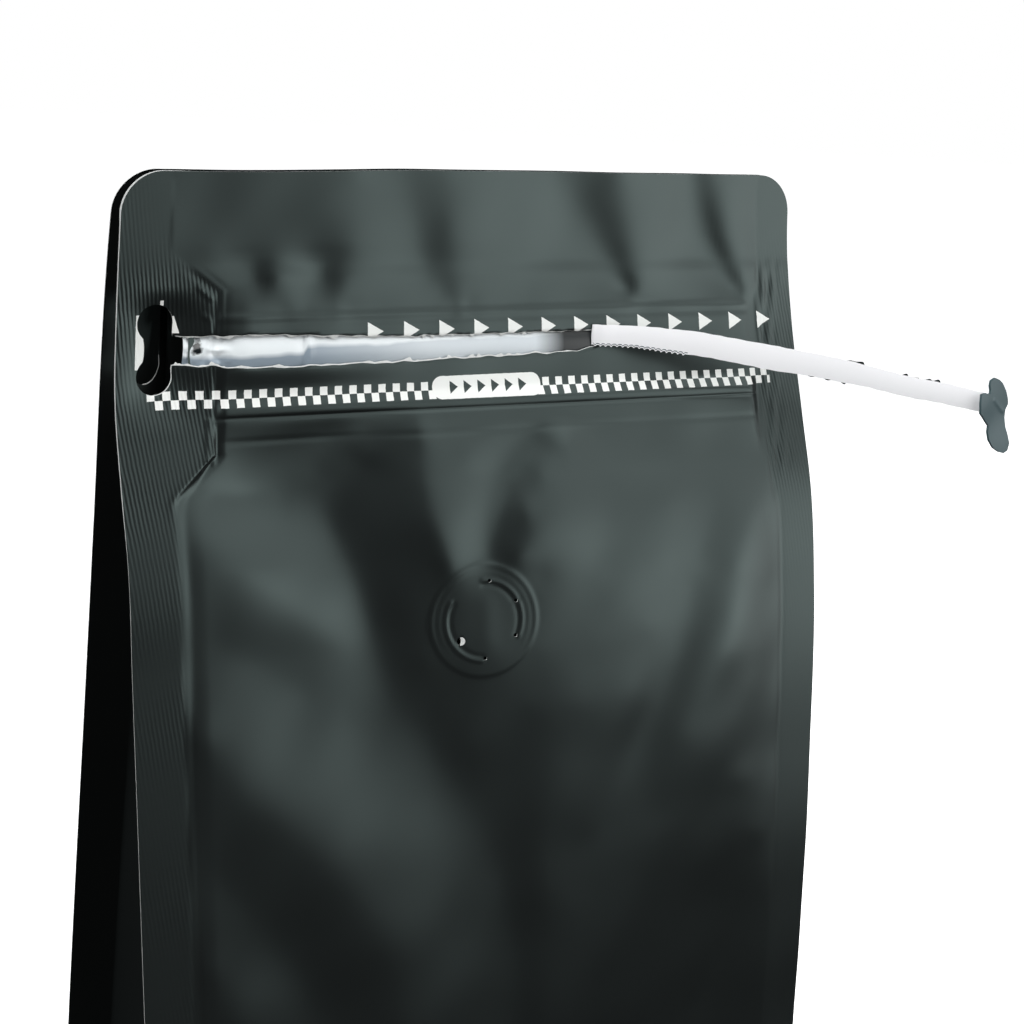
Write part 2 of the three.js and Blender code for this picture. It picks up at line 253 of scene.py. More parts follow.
# Pull tab: its place, turn in radians, bone-shaped outline and a crease
TAB_CENTRE = (95.6, -33.4, 223.8)
TAB_TURN = 0.14
TAB_OUTLINE = (
    (-2.4, 6.7), (-3.5, 6.3), (-3.7, 5.3), (-3.4, 4.4), (-3.6, 3.7), (-5.0, 4.0), (-6.1, 3.8), (-6.2, 2.2),
    (-5.9, 0.3), (-4.2, -1.1), (-2.6, -2.4), (-2.7, -3.6), (-2.1, -5.2), (-0.6, -6.8), (1.1, -7.7),
    (2.3, -8.0), (3.4, -7.6), (3.8, -6.3), (3.1, -4.6), (2.3, -3.1), (1.7, -1.1), (1.6, 0.4), (2.1, 1.5),
    (1.8, 2.5), (0.9, 4.1), (-0.3, 5.6), (-1.3, 6.3))
TAB_CREASE = ((-2.2, 2.6), (0.9, 0.2))

# Photograph's camera: place in metres, and heading, downward pitch and roll in degrees
CAMERA_PLACE = (-0.1514, -0.2808, 0.2857)
CAMERA_HEADING = 29.77
CAMERA_PITCH = 14.42
CAMERA_ROLL = 3.21
CAMERA_FOCAL_PIXELS = 1800
IMAGE_PIXELS = 1024
SENSOR_MM = 36
LIGHT_AIM = (0, 0, 0.19)


def linear(hex_code):
    """Linear RGB of an sRGB hex value."""
    channels = [int(hex_code[i:i + 2], 16) / 255 for i in (0, 2, 4)]
    return tuple(c / 12.92 if c <= 0.04045 else ((c + 0.055) / 1.055) ** 2.4 for c in channels)


def length(name, description, default):
    """A size that a user can change, in metres."""
    return bpy.props.FloatProperty(name=name, description=description, default=default, min=0, unit="LENGTH")


def colour(name, description, hex_code):
    """A colour that a user can change."""
    return bpy.props.FloatVectorProperty(
        name=name, description=description, default=linear(hex_code), min=0, max=1, size=3, subtype="COLOR")


class PouchSizes(bpy.types.PropertyGroup):
    """Sizes of the pouch that a maker would change."""
    width: length("Width", "Width over the side seals", POUCH_HIGH.x - POUCH_LOW.x)
    height: length("Height", "Height of the top edge over the base", POUCH_HIGH.z - POUCH_LOW.z)
    corner: length("Corner radius", "Radius of the two top corners", 7 * MM)
    seal: length("Seal width", "Width of the four upright side seals", 8.5 * MM)
    film: length("Seal thickness", "Thickness of two sealed film layers", 0.3 * MM)
    rib_pitch: length("Rib pitch", "Spacing of the ribs that the seal bar leaves", 0.69 * MM)
    strip_thickness: length("Strip thickness", "Thickness of the peeled tear strip", 0.2 * MM)
    tab_thickness: length("Tab thickness", "Thickness of the pull tab", 0.5 * MM)


class PouchColours(bpy.types.PropertyGroup):
    """Colours of the pouch and its stage."""
    laminate: colour("Laminate", "Matte black outer film", "131414")
    sheen: colour("Film sheen", "Tint of the light that the matte film throws back", "e3fffb")
    ink: colour("Ink", "White gravure ink", "e2e2df")
    cut: colour("Cut edge", "White inner layer where the film is cut or torn", "d8dad8")
    pearl: colour("Inner film", "Pearly inner film in the torn window", "e4eaec")
    pearl_shade: colour("Inner film shade", "Greyer stretch of the inner film over the track", "8e9ba6")
    # Painted shadow: darkens the inner film at the strip's root and fills its small dark hole
    painted_shadow: colour("Inner film smoke", "Inner film stretched thin over the dark inside", "1c2122")
    strip: colour("Strip", "White inner side of the tear strip", "f5f5f7")
    # Painted sheen: a slate base colour stands in for the sheen of the tab's black laminate facing the light;
    # it also draws the strip's dark seam line
    tab: colour("Tab", "Slate laminate of the pull tab", "3f5357")
    floor: colour("Floor", "Pale studio floor", "f2f2f2")


def chosen(context):
    """The user's sizes in millimetres, and colours."""
    sizes = context.scene.pouch_sizes
    in_mm = {name: getattr(sizes, name) / MM for name in PouchSizes.__annotations__}
    return SimpleNamespace(**in_mm), context.scene.pouch_colours


def ease(value, low, high):
    """Smooth step from 0 at low to 1 at high."""
    t = np.clip((value - low) / (high - low), 0, 1)
    return t * t * (3 - 2 * t)


def plateau(value, start, full, leave, end):
    """Smooth rise from 0 at start to 1 at full, and smooth fall from leave to 0 at end."""
    return ease(value, start, full) * (1 - ease(value, leave, end))


def hump(value, middle, reach):
    """Soft hump of height 1 about a middle."""
    return np.exp(-(((value - middle) / reach) ** 2))


def straight(stations, at):
    """Straight runs through (place, value) stations."""
    return np.interp(at, *np.array(stations, float).T)


def curved(stations, at):
    """Smooth curve through (place, value) stations."""
    places, values = np.array(stations, float).T
    slopes = np.gradient(values, places)
    k = np.clip(np.searchsorted(places, at) - 1, 0, len(places) - 2)
    span = places[k + 1] - places[k]
    t = np.clip((at - places[k]) / span, 0, 1)
    rise = t * t * (3 - 2 * t)
    leave = t * (1 - t) ** 2 * span * slopes[k]
    arrive = t * t * (t - 1) * span * slopes[k + 1]
    return values[k] + (values[k + 1] - values[k]) * rise + leave + arrive


def ripple(x, z, grain, seed):
    """Uneven waves about as long as the grain, from about -1 to 1, the same for the same seed."""
    draw = np.random.default_rng(seed)
    waves = 7
    total = np.zeros(np.broadcast(x, z).shape)
    for _ in range(waves):
        angle, phase = draw.uniform(0, 2 * math.pi, 2)
        number = 2 * math.pi / (grain * draw.uniform(0.7, 1.5))
        total += np.sin((x * math.cos(angle) + z * math.sin(angle)) * number + phase)
    return total / math.sqrt(waves)


def points_along(line, step):
    """Points about a step apart along a line of (x, z, rise) corners."""
    corners = np.array(line, float)
    runs = np.hypot(*np.diff(corners[:, :2], axis=0).T)
    reached = np.concatenate([[0], np.cumsum(runs)])
    places = np.linspace(0, reached[-1], max(int(round(reached[-1] / step)), 1) + 1)
    return np.stack([np.interp(places, reached, column) for column in corners.T], -1)


def fold_relief(folds, still):
    """Smooth relief through the crests and troughs of the folds and the lines that hold the film."""
    points = np.vstack([points_along(line, FOLD_STEP) for line in (*folds, *still)])
    count = len(points)
    apart = np.hypot(points[:, None, 0] - points[None, :, 0], points[:, None, 1] - points[None, :, 1])
    system = np.ones((count + 1, count + 1))
    system[:count, :count] = FOLD_SLACK * np.eye(count) - np.hypot(apart, FOLD_SOFTNESS)
    system[count, count] = 0
    weights = np.linalg.solve(system, np.append(points[:, 2], 0))

    def rise(x, z):
        total = np.full(np.broadcast(x, z).shape, weights[-1])
        for (px, pz, _), weight in zip(points, weights):
            total -= weight * np.sqrt((x - px) ** 2 + (z - pz) ** 2 + FOLD_SOFTNESS ** 2)
        return total

    return rise


front_folds = fold_relief(FRONT_FOLDS, FRONT_STILL)


def panel_run(left, right, x, z, size):
    """Depth of a panel between its two edge runs."""
    share = x / size.width + 0.5
    return curved(left, z) * (1 - share) + curved(right, z) * share


def drawn_in(x, z, size):
    """Sheet x after the side edges draw in towards the top."""
    taper = np.where(x < 0, curved(LEFT_TAPER, z), curved(RIGHT_TAPER, z))
    return x * (1 - taper / (size.width / 2))


def cut_height(x, z):
    """Height of a panel's point: the left end of the top edge is cut a little lower."""
    return z - TOP_CUT * ease(-x, 12, 52) * ease(z, 245, 265)


def seal_gaps(x, z):
    """Distances from the left and the right seal, below zero inside them."""
    step = 0.2
    gaps = []
    for side, inner, stations in ((-1, SEAL_INNER[0], CRUSH_LEFT), (1, SEAL_INNER[1], CRUSH_RIGHT)):
        edge = side * np.minimum(side * inner, side * straight(stations, z))
        lean = (straight(stations, z + step) - straight(stations, z - step)) / (2 * step)
        gaps.append(side * (edge - x) / np.hypot(1, lean))
    return gaps


def sealed(x, z, left_reach=SEAL_BLUR):
    """How firmly the seals hold a point of the front film, from 0 to 1, past the left one over a reach."""
    left_gap, right_gap = seal_gaps(x, z)
    return np.maximum(ease(-left_gap, -left_reach, SEAL_BLUR), ease(-right_gap, -RIGHT_REACH, SEAL_BLUR))


def patches(x, z, seed):
    """Uneven pressure of the seal bar."""
    return np.clip(0.75 + 0.45 * ripple(x, z, 17, seed), 0.1, 1.5)


def rib_strength(x, z):
    """How strongly the seal bar's ribs show on the front, and on its right side mostly beside the zipper."""
    right_share = RIGHT_RIB_SHARE + (1 - RIGHT_RIB_SHARE) * plateau(z, *RIGHT_RIB_SPAN)
    return sealed(x, z) * straight(RIB_STRENGTH, z) * patches(x, z, 13) * np.where(x > 0, right_share, 1)


def back_rib_strength(x, z):
    """Ribs of the back panel's two plain side seals."""
    inner = -SEAL_INNER[0]
    return ease(np.abs(x), inner - SEAL_BLUR, inner + SEAL_BLUR) * BACK_RIB_SHARE * patches(x, z, 14)


def zipper_relief(x, z):
    """Raised zipper pocket: the track's bead over a sharp foot line, and a low ridge along the head."""
    start, end = POCKET_ENDS
    across = plateau(x, start - 0.6, start + 1.6, end - 1.6, end + 0.6)
    pocket = POCKET_RISE * plateau(z, POCKET_FOOT - 0.1, POCKET_FOOT + 1.4, POCKET_HEAD - 2, POCKET_HEAD)
    bead = straight(BEAD_RISE, x) * plateau(z, *BEAD_SPAN)
    lines = sum(rise * hump(z, height, reach) for height, rise, reach in ZIPPER_LINES)
    return across * (pocket + bead + lines)


def window_lift(x, z):
    """Film that stands out along the torn window and sinks into the crushed seal at its left end."""
    lip = straight(WINDOW_LIP, x) * plateau(z, *WINDOW_LIP_SPAN)
    return lip - CRUSH_SINK * plateau(x, *CRUSH_SINK_ACROSS) * plateau(z, *CRUSH_SINK_UP)


def line_distance(line, x, z):
    """Distance from a line of (x, z) corners."""
    nearest = np.full(np.broadcast(x, z).shape, np.inf)
    for (ax, az), (bx, bz) in zip(line, line[1:]):
        run_x, run_z = bx - ax, bz - az
        t = np.clip(((x - ax) * run_x + (z - az) * run_z) / (run_x ** 2 + run_z ** 2), 0, 1)
        nearest = np.minimum(nearest, np.hypot(x - ax - t * run_x, z - az - t * run_z))
    return nearest


def outline_distance(loop, x, z):
    """Signed distance to a closed loop of (x, z) corners, below zero inside it."""
    inside = np.zeros(np.broadcast(x, z).shape, bool)
    for (ax, az), (bx, bz) in zip(loop, loop[1:]):
        if az != bz:
            spans = (az > z) != (bz > z)
            inside ^= spans & (x < ax + (z - az) * (bx - ax) / (bz - az))
    return np.where(inside, -1, 1) * line_distance(loop, x, z)


def valve_relief(x, z):
    """Valve felt through the film: a disc with a double rim, a broken ring and a soft spine."""
    dx, dz = x - VALVE_CENTRE[0], z - VALVE_CENTRE[1]
    radius = np.hypot(dx, dz)
    angle = np.degrees(np.arctan2(dz, dx)) % 360
    edge = VALVE_RIMS[0][0]
    disc = 0.08 * (1 - ease(radius, edge - 0.2, edge + 0.8))
    shown = 0.15 + 0.85 * ease(dz / np.maximum(radius, 0.1), -0.75, -0.1)
    rims = shown * sum(rise * hump(radius, at, PRESS_WIDTH) for at, rise in VALVE_RIMS)
    arcs = np.zeros_like(radius)
    for start, end in VALVE_RING_ARCS:
        middle, half = (start + end) / 2, (end - start) / 2
        off = np.abs((angle - middle + 180) % 360 - 180)
        arcs += 1 - ease(off, half - 3, half + 3)
    ring = arcs * sum(rise * hump(radius, at, reach) for at, rise, reach in VALVE_RING)
    spine = 0.05 * hump(dx, 0.6, 2.0) * (1 - ease(np.abs(dz), 3, 6))
    return disc + rims + ring + spine


def seal_relief(x, z):
    """Shoulders, pressed lines, rolled lip and crumples along the seals' inner edges."""
    left_gap, right_gap = seal_gaps(x, z)
    sharp = ease(z, *CRUSH_SHARPENS)
    left_shoulder = SHOULDER_RISE * ease(left_gap, 0, SHOULDER_REACH * (3 - 2 * sharp))
    right_shoulder = RIGHT_SHOULDER_RISE * ease(-right_gap, -SHOULDER_REACH, 0)
    left_lines = (0.3 + 0.7 * sharp) * (hump(left_gap, 0, PRESS_WIDTH) + hump(left_gap, 1.2, PRESS_WIDTH))
    lines = 0.05 * left_lines + 0.015 * hump(right_gap, 0, 0.4)
    marked = 1 - ease(z, *CRUSH_SPAN[2:])
    rolled = 0.1 * hump(left_gap, -0.5, 0.5) - 0.14 * hump(left_gap, 0.4, 0.5)
    turned = rolled * (1 - 1.6 * ease(z, 227, 237))
    crumples = 0.09 * ripple(x, z * 0.22, 1.8, 17) * hump(right_gap, -2, 2.4)
    return marked * (left_shoulder - right_shoulder - lines) + plateau(z, *CRUSH_SPAN) * (turned + crumples)


def front_rise(x, z):
    """Outward rise of the front film over its side run."""
    left_reach = SOFT_REACH - (SOFT_REACH - SEAL_BLUR) * ease(z, *CRUSH_SHARPENS)
    slack = (1 - sealed(x, z, left_reach)) * front_folds(x, z)
    grain = 0.05 * (1 - sealed(x, z)) * ripple(x, z, 16, 5)
    creases = CREASE_RISE * sum(hump(line_distance(line, x, z), 0, PRESS_WIDTH) for line in CRUSH_CREASES)
    pressed = seal_relief(x, z) + zipper_relief(x, z) + window_lift(x, z) + valve_relief(x, z)
    return slack + grain + creases + pressed


def lip_wave(x, z):
    """Wave in depth that both films share towards the top edge."""
    return front_folds(x, z) * ease(z, 238, 258)


def front_run(x, z, size):
    """Depth of the front film without its own relief."""
    return panel_run(FRONT_LEFT, FRONT_RIGHT, x, z, size)


def back_run(x, z, size):
    """Depth of the back film without its own relief."""
    return panel_run(BACK_LEFT, BACK_RIGHT, x, z, size) - lip_wave(x, z)


def pinhole_distance(x, z):
    """Signed distance to the valve's pinholes."""
    dx, dz = x - VALVE_CENTRE[0], z - VALVE_CENTRE[1]
    return np.min([np.hypot(dx - hx, dz - hz) - radius for hx, hz, radius in VALVE_PINHOLES], axis=0)


def window_distance(x, z):
    """Signed distance to the torn window, below zero inside it, with ragged edges."""
    low = straight(WINDOW_LOW, x) + 0.12 * ripple(x, 0 * z, 3.1, 21)
    high = straight(WINDOW_HIGH, x) + 0.1 * ripple(x, 0 * z, 3.7, 22)
    return np.maximum(np.maximum(low - z, z - high), np.maximum(WINDOW_LEFT - x, x - WINDOW_RIGHT))


def bone_distance(x, z):
    """Signed distance to the tab's hole: two round lobes, a waist on the left and a straight right side."""
    lobes = np.minimum(*[np.hypot(x - HOLE_X, z - lobe) - HOLE_LOBE_RADIUS for lobe in HOLE_LOBES])
    middle, half = sum(HOLE_LOBES) / 2, (HOLE_LOBES[1] - HOLE_LOBES[0]) / 2
    waist = HOLE_WAIST - HOLE_WAIST_CURVE * (z - middle) ** 2
    body = np.maximum(np.maximum(waist - x, x - HOLE_RIGHT), np.abs(z - middle) - half)
    return np.minimum(lobes, body)


def front_openings(x, z):
    """Signed distance to the front film's openings."""
    return np.minimum(np.minimum(window_distance(x, z), bone_distance(x, z)), pinhole_distance(x, z))


def grid_lines(start, end, spacing, close=()):
    """Lines from start to end: a plain spacing, and a closer one inside each (low, high, spacing) stretch."""
    fine = np.linspace(start, end, 8001)
    middle = (fine[1:] + fine[:-1]) / 2
    step = np.full(middle.shape, spacing)
    for low, high, closer in close:
        step[(middle >= low) & (middle <= high)] = closer
    counted = np.concatenate([[0], np.cumsum(np.diff(fine) / step)])
    return np.interp(np.linspace(0, counted[-1], int(round(counted[-1])) + 1), counted, fine)


def flat_sheet(columns, rows):
    """Flat grid with its lines at the given places: x across, y up the sheet, z its depth."""
    bm = bmesh.new()
    across, up = len(columns) - 1, len(rows) - 1
    bmesh.ops.create_grid(bm, x_segments=across, y_segments=up, size=0.5)
    for vert in bm.verts:
        column = round((vert.co.x + 0.5) * across)
        row = round((vert.co.y + 0.5) * up)
        vert.co = (columns[column], rows[row], 0)
    return bm


def points_of(verts):
    """Places of the vertices as an array."""
    return np.array([v.co for v in verts], float).reshape(-1, 3)


def put(verts, places):
    """Moves the vertices to the places of an array."""
    for vert, place in zip(verts, places):
        vert.co = place


def slope_of(distance, x, z, step=0.02):
    """A signed distance and its slope along x and z."""
    slope_x = (distance(x + step, z) - distance(x - step, z)) / (2 * step)
    slope_z = (distance(x, z + step) - distance(x, z - step)) / (2 * step)
    return distance(x, z), slope_x, slope_z


def trim(bm, distance, keep_inside=False):
    """Cuts a flat sheet along a signed distance and pulls the cut edge onto its zero line."""
    centres = np.array([f.calc_center_median() for f in bm.faces])
    inside = distance(centres[:, 0], centres[:, 1]) < 0
    doomed = [face for face, gone in zip(bm.faces, inside != keep_inside) if gone]
    bmesh.ops.delete(bm, geom=doomed, context="FACES")
    verts = [v for v in bm.verts if v.is_boundary]
    places = points_of(verts)
    near = np.abs(distance(places[:, 0], places[:, 1])) < 1.2
    for _ in range(3):
        gap, slope_x, slope_z = slope_of(distance, places[:, 0], places[:, 1])
        scale = np.where(near, gap / np.maximum(slope_x ** 2 + slope_z ** 2, 0.25), 0)
        places[:, 0] -= scale * slope_x
        places[:, 1] -= scale * slope_z
    put(verts, places)


def round_top(bm, size):
    """Rounds the two top corners of a flat sheet."""
    verts = list(bm.verts)
    places = points_of(verts)
    inner = size.width / 2 - size.corner
    a = np.clip((np.abs(places[:, 0]) - inner) / size.corner, 0, 1)
    b = np.clip((places[:, 1] - size.height + size.corner) / size.corner, 0, 1)
    corner = (a > 0) & (b > 0)
    turned_x = np.sign(places[:, 0]) * (inner + size.corner * a * np.sqrt(1 - b ** 2 / 2))
    turned_z = size.height - size.corner + size.corner * b * np.sqrt(1 - a ** 2 / 2)
    places[:, 0] = np.where(corner, turned_x, places[:, 0])
    places[:, 1] = np.where(corner, turned_z, places[:, 1])
    put(verts, places)


def add_rim(bm, depth, fringe=None):
    """Gives a sheet's open edges a rim of the second material, set back by a depth and moved by a fringe."""
    edges = [e for e in bm.edges if e.is_boundary]
    made = bmesh.ops.extrude_edge_only(bm, edges=edges)["geom"]
    for face in (f for f in made if isinstance(f, bmesh.types.BMFace)):
        face.material_index = 1
    verts = [v for v in made if isinstance(v, bmesh.types.BMVert)]
    places = points_of(verts)
    places[:, 2] += depth(places[:, 0], places[:, 1]) if callable(depth) else depth
    if fringe:
        shift_x, shift_z, sink = fringe(places[:, 0], places[:, 1])
        places[:, 0] += shift_x
        places[:, 1] += shift_z
        places[:, 2] = np.where(sink > 0, sink, places[:, 2])
    put(verts, places)


def torn_fringe(x, z):
    """White torn layer that stands out from under the black film, and a white patch across the right half of
    one pinhole.
    """
    gap, slope_x, slope_z = slope_of(front_openings, x, z)
    torn = np.abs(gap) < 0.05
    off_pinholes = pinhole_distance(x, z) > 0.4
    window = torn & (bone_distance(x, z) > 0.4) & off_pinholes
    uneven = np.clip(ripple(x, z, 1.3, 31) + 0.4 * ripple(x, z, 5, 32), 0, 2)
    wide = (0.16 + 0.3 * uneven) * (1 - 0.6 * ease(x, 4, 14))
    hole_foot = (x > HOLE_X) & (z < 235) & off_pinholes
    first_x, first_z, first_radius = VALVE_PINHOLES[0]
    dx, dz = x - VALVE_CENTRE[0] - first_x, z - VALVE_CENTRE[1] - first_z
    # A white patch fills the right half of the first pinhole
    white_half = (np.hypot(dx, dz) < first_radius + 0.3) & (dx > -0.1)
    reach = np.where(window, wide, np.where(white_half, first_radius, 0.1 * hole_foot)) * torn
    return -slope_x * reach, -slope_z * reach, np.where(torn, 0.12, 0)


def add_piece(name, bm, place, materials, slot, replaced, flip=False, sharp=70, ribbing=None):
    """Makes a piece of a flat sheet whose points (x, z, depth) go where place puts them, in millimetres."""
    flat = points_of(bm.verts)
    mesh = bpy.data.meshes.new(name)
    bm.to_mesh(mesh)
    bm.free()
    placed = np.asarray(place(*flat.T)) * MM
    mesh.vertices.foreach_set("co", placed.T.astype(np.float32).ravel())
    corners = np.zeros(len(mesh.loops), np.int32)
    mesh.loops.foreach_get("vertex_index", corners)
    sheet = mesh.uv_layers.new(name="sheet_mm")
    sheet.data.foreach_set("uv", flat[corners, :2].astype(np.float32).ravel())
    if ribbing:
        strength = mesh.attributes.new("ribbing", "FLOAT", "POINT")
        strength.data.foreach_set("value", ribbing(flat[:, 0], flat[:, 1]).astype(np.float32))
    if flip:
        mesh.flip_normals()
    mesh.shade_smooth()
    mesh.set_sharp_from_angle(angle=math.radians(sharp))
    for material in materials:
        mesh.materials.append(material)
    piece = bpy.data.objects.new(name, mesh)
    bpy.context.scene.collection.objects.link(piece)
    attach(piece, "root")
    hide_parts(replaced)
    return piece


def add_bake_map(piece, columns, rows):
    """Second map, named OFBake, for baked textures, with most room where the sheet's grid is close."""
    mesh = piece.data
    flat = np.zeros(len(mesh.loops) * 2, np.float32)
    mesh.uv_layers["sheet_mm"].data.foreach_get("uv", flat)
    flat = flat.reshape(-1, 2)
    u = np.interp(flat[:, 0], columns, np.linspace(0.01, 0.99, len(columns)))
    v = np.interp(flat[:, 1], rows, np.linspace(0.01, 0.99, len(rows)))
    bake = mesh.uv_layers.new(name="OFBake")
    bake.data.foreach_set("uv", np.stack([u, v], -1).astype(np.float32).ravel())


def add_node(tree, kind, inputs=None, **settings):
    """Adds a node with its settings, and inputs from values, sockets or other nodes' first outputs."""
    node = tree.nodes.new(kind)
    for name, value in settings.items():
        setattr(node, name, value)
    for key, value in (inputs or {}).items():
        source = value.outputs[0] if isinstance(value, bpy.types.Node) else value
        if isinstance(source, bpy.types.NodeSocket):
            tree.links.new(source, node.inputs[key])
        else:
            node.inputs[key].default_value = source
    return node


def named_material(name, surface):
    """The material of a name, made on first use with the shader that surface builds in its tree."""
    material = bpy.data.materials.get(name)
    if material is None:
        material = bpy.data.materials.new(name)
        material.use_nodes = True
        tree = material.node_tree
        tree.nodes.clear()
        add_node(tree, "ShaderNodeOutputMaterial", {"Surface": surface(tree)})
    return material


def rgba(value):
    """A colour with full alpha."""
    return (*value[:3], 1)


def field_mask(tree, place, span_x, span_z, radius=0.05):
    """1 inside a field of the sheet with rounded corners."""
    middle = (sum(span_x) / 2, sum(span_z) / 2, 0)
    core = ((span_x[1] - span_x[0]) / 2 - radius, (span_z[1] - span_z[0]) / 2 - radius, 0)
    off = add_node(tree, "ShaderNodeVectorMath", {0: place, 1: middle}, operation="SUBTRACT")
    reach = add_node(tree, "ShaderNodeVectorMath", {0: off}, operation="ABSOLUTE")
    past = add_node(tree, "ShaderNodeVectorMath", {0: reach, 1: core}, operation="SUBTRACT")
    beyond = add_node(tree, "ShaderNodeVectorMath", {0: past, 1: (0, 0, 0)}, operation="MAXIMUM")
    apart = add_node(tree, "ShaderNodeVectorMath", {0: beyond}, operation="LENGTH").outputs["Value"]
    return add_node(tree, "ShaderNodeMath", {0: apart, 1: radius}, operation="LESS_THAN")


def pointer_mask(tree, place, row):
    """1 inside a row of triangles that point along the sheet's x."""
    split = add_node(tree, "ShaderNodeSeparateXYZ", {"Vector": place}).outputs
    run = add_node(tree, "ShaderNodeMath", {0: split["X"], 1: row.start}, operation="SUBTRACT")
    local = add_node(tree, "ShaderNodeMath", {0: run, 1: row.pitch}, operation="FLOORED_MODULO")
    off = add_node(tree, "ShaderNodeMath", {0: split["Y"], 1: row.middle}, operation="SUBTRACT")
    height = add_node(tree, "ShaderNodeMath", {0: off}, operation="ABSOLUTE")
    slant = add_node(tree, "ShaderNodeMath", {0: local, 1: row.tall / 2 / row.wide, 2: height},
                     operation="MULTIPLY_ADD")
    shape = add_node(tree, "ShaderNodeMath", {0: slant, 1: row.tall / 2}, operation="LESS_THAN")
    end = row.start + (row.count - 1) * row.pitch + row.wide
    field = field_mask(tree, place, (row.start, end), (row.middle - row.tall, row.middle + row.tall))
    return add_node(tree, "ShaderNodeMath", {0: shape, 1: field}, operation="MULTIPLY")


def check_mask(tree, place):
    """1 inside the white squares of the checked band."""
    wide, tall = CHECK_SIZE
    origin = (CHECK_START - wide, CHECK_MIDDLE - tall, 0)
    shifted = add_node(tree, "ShaderNodeVectorMath", {0: place, 1: origin}, operation="SUBTRACT")
    cells = add_node(tree, "ShaderNodeVectorMath", {0: shifted, 1: (wide, tall, 1)}, operation="DIVIDE")
    squares = add_node(tree, "ShaderNodeTexChecker", {
        "Vector": cells, "Color1": (1, 1, 1, 1), "Color2": (0, 0, 0, 1), "Scale": 1.0}).outputs["Fac"]
    field = field_mask(tree, place, CHECK_SPAN, (CHECK_MIDDLE - tall, CHECK_MIDDLE + tall))
    return add_node(tree, "ShaderNodeMath", {0: squares, 1: field}, operation="MULTIPLY")


def sliver_mask(tree, place):
    """1 inside the slanted sliver of the tab's print on the hole's right."""
    lean = (1, TAB_SLIVER_LEAN, 0)
    limit = TAB_SLIVER[0][1] + TAB_SLIVER_LEAN * TAB_SLIVER[1][0]
    slope = add_node(tree, "ShaderNodeVectorMath", {0: place, 1: lean}, operation="DOT_PRODUCT")
    left_of = add_node(tree, "ShaderNodeMath", {0: slope.outputs["Value"], 1: limit}, operation="LESS_THAN")
    field = field_mask(tree, place, *TAB_SLIVER)
    return add_node(tree, "ShaderNodeMath", {0: field, 1: left_of}, operation="MULTIPLY")


def print_mask(tree):
    """White of the print by the sheet's millimetres, its edges wavering by up to 0.06 mm as ink does."""
    sheet = add_node(tree, "ShaderNodeUVMap", uv_map="sheet_mm")
    wobble = add_node(tree, "ShaderNodeTexNoise", {"Vector": sheet, "Scale": 1.6, "Detail": 2.0})
    centred = add_node(tree, "ShaderNodeVectorMath", {0: wobble.outputs["Color"], 1: (0.5, 0.5, 0.5)},
                       operation="SUBTRACT")
    place = add_node(tree, "ShaderNodeVectorMath", {0: centred, 1: (0.12, 0.12, 0), 2: sheet},
                     operation="MULTIPLY_ADD")
    spans = [(middle - half, middle + half) for middle, half in zip(LABEL_CENTRE, LABEL_HALF)]
    field = field_mask(tree, place, *spans, LABEL_ROUND)
    marks = pointer_mask(tree, place, LABEL_POINTERS)
    label = add_node(tree, "ShaderNodeMath", {0: field, 1: marks}, operation="SUBTRACT")
    printed = add_node(tree, "ShaderNodeMath", {0: check_mask(tree, place), 1: field},
                       operation="SUBTRACT", use_clamp=True)
    for mask in (label, pointer_mask(tree, place, POINTERS), field_mask(tree, place, *TAB_PRINT),
                 field_mask(tree, place, *TAB_NICK), sliver_mask(tree, place)):
        printed = add_node(tree, "ShaderNodeMath", {0: printed, 1: mask}, operation="MAXIMUM")
    return printed


def film_surface(tree, rib_pitch=0):
    """Normal and roughness of matte film: cloudy gloss, ribs, and 0.1 mm grit drawn at 0.4 mm to show."""
    place = add_node(tree, "ShaderNodeTexCoord").outputs["Object"]
    grit = add_node(tree, "ShaderNodeTexNoise", {"Vector": place, "Scale": 1 / (0.4 * MM), "Detail": 2.0})
    height = add_node(tree, "ShaderNodeMath", {0: grit, 1: 0.1}, operation="MULTIPLY")
    if rib_pitch:
        sheet = add_node(tree, "ShaderNodeUVMap", uv_map="sheet_mm")
        turned = add_node(tree, "ShaderNodeMapping", {"Vector": sheet, "Rotation": (0, 0, -RIB_LEAN)})
        per_band = math.pi / 10
        wave = add_node(tree, "ShaderNodeTexWave", {
            "Vector": turned, "Scale": per_band / rib_pitch, "Distortion": 1.2, "Detail": 3.0,
            "Detail Scale": 0.8}, wave_profile="SIN").outputs["Fac"]
        strength = add_node(tree, "ShaderNodeAttribute", attribute_name="ribbing").outputs["Fac"]
        height = add_node(tree, "ShaderNodeMath", {0: wave, 1: strength, 2: height}, operation="MULTIPLY_ADD")
    normal = add_node(tree, "ShaderNodeBump", {"Height": height, "Strength": 1.0, "Distance": RIB_DEPTH})
    cloud = add_node(tree, "ShaderNodeTexNoise", {"Vector": place, "Scale": 1 / (18 * MM), "Detail": 3.0})
    gloss = add_node(tree, "ShaderNodeMapRange", {"Value": cloud, "To Min": 0.29, "To Max": 0.35})
    return normal, gloss


def black_laminate(colours, rib_pitch=0, printed=False):
    """Matte BOPP laminate, gravure printed: nearly black, with a soft wide sheen off a micro-rough skin."""
    kind = "printed" if printed else "ribbed" if rib_pitch else "plain"

    def surface(tree):
        normal, gloss = film_surface(tree, rib_pitch)
        base = rgba(colours.laminate)
        if printed:
            base = add_node(tree, "ShaderNodeMix", {
                "Factor": print_mask(tree), 6: base, 7: rgba(colours.ink)}, data_type="RGBA").outputs[2]
        return add_node(tree, "ShaderNodeBsdfPrincipled", {
            "Base Color": base, "Roughness": gloss, "Normal": normal, "IOR": 1.5,
            "Specular Tint": rgba(colours.sheen)})

    return named_material("matte_bopp_laminate_" + kind, surface)


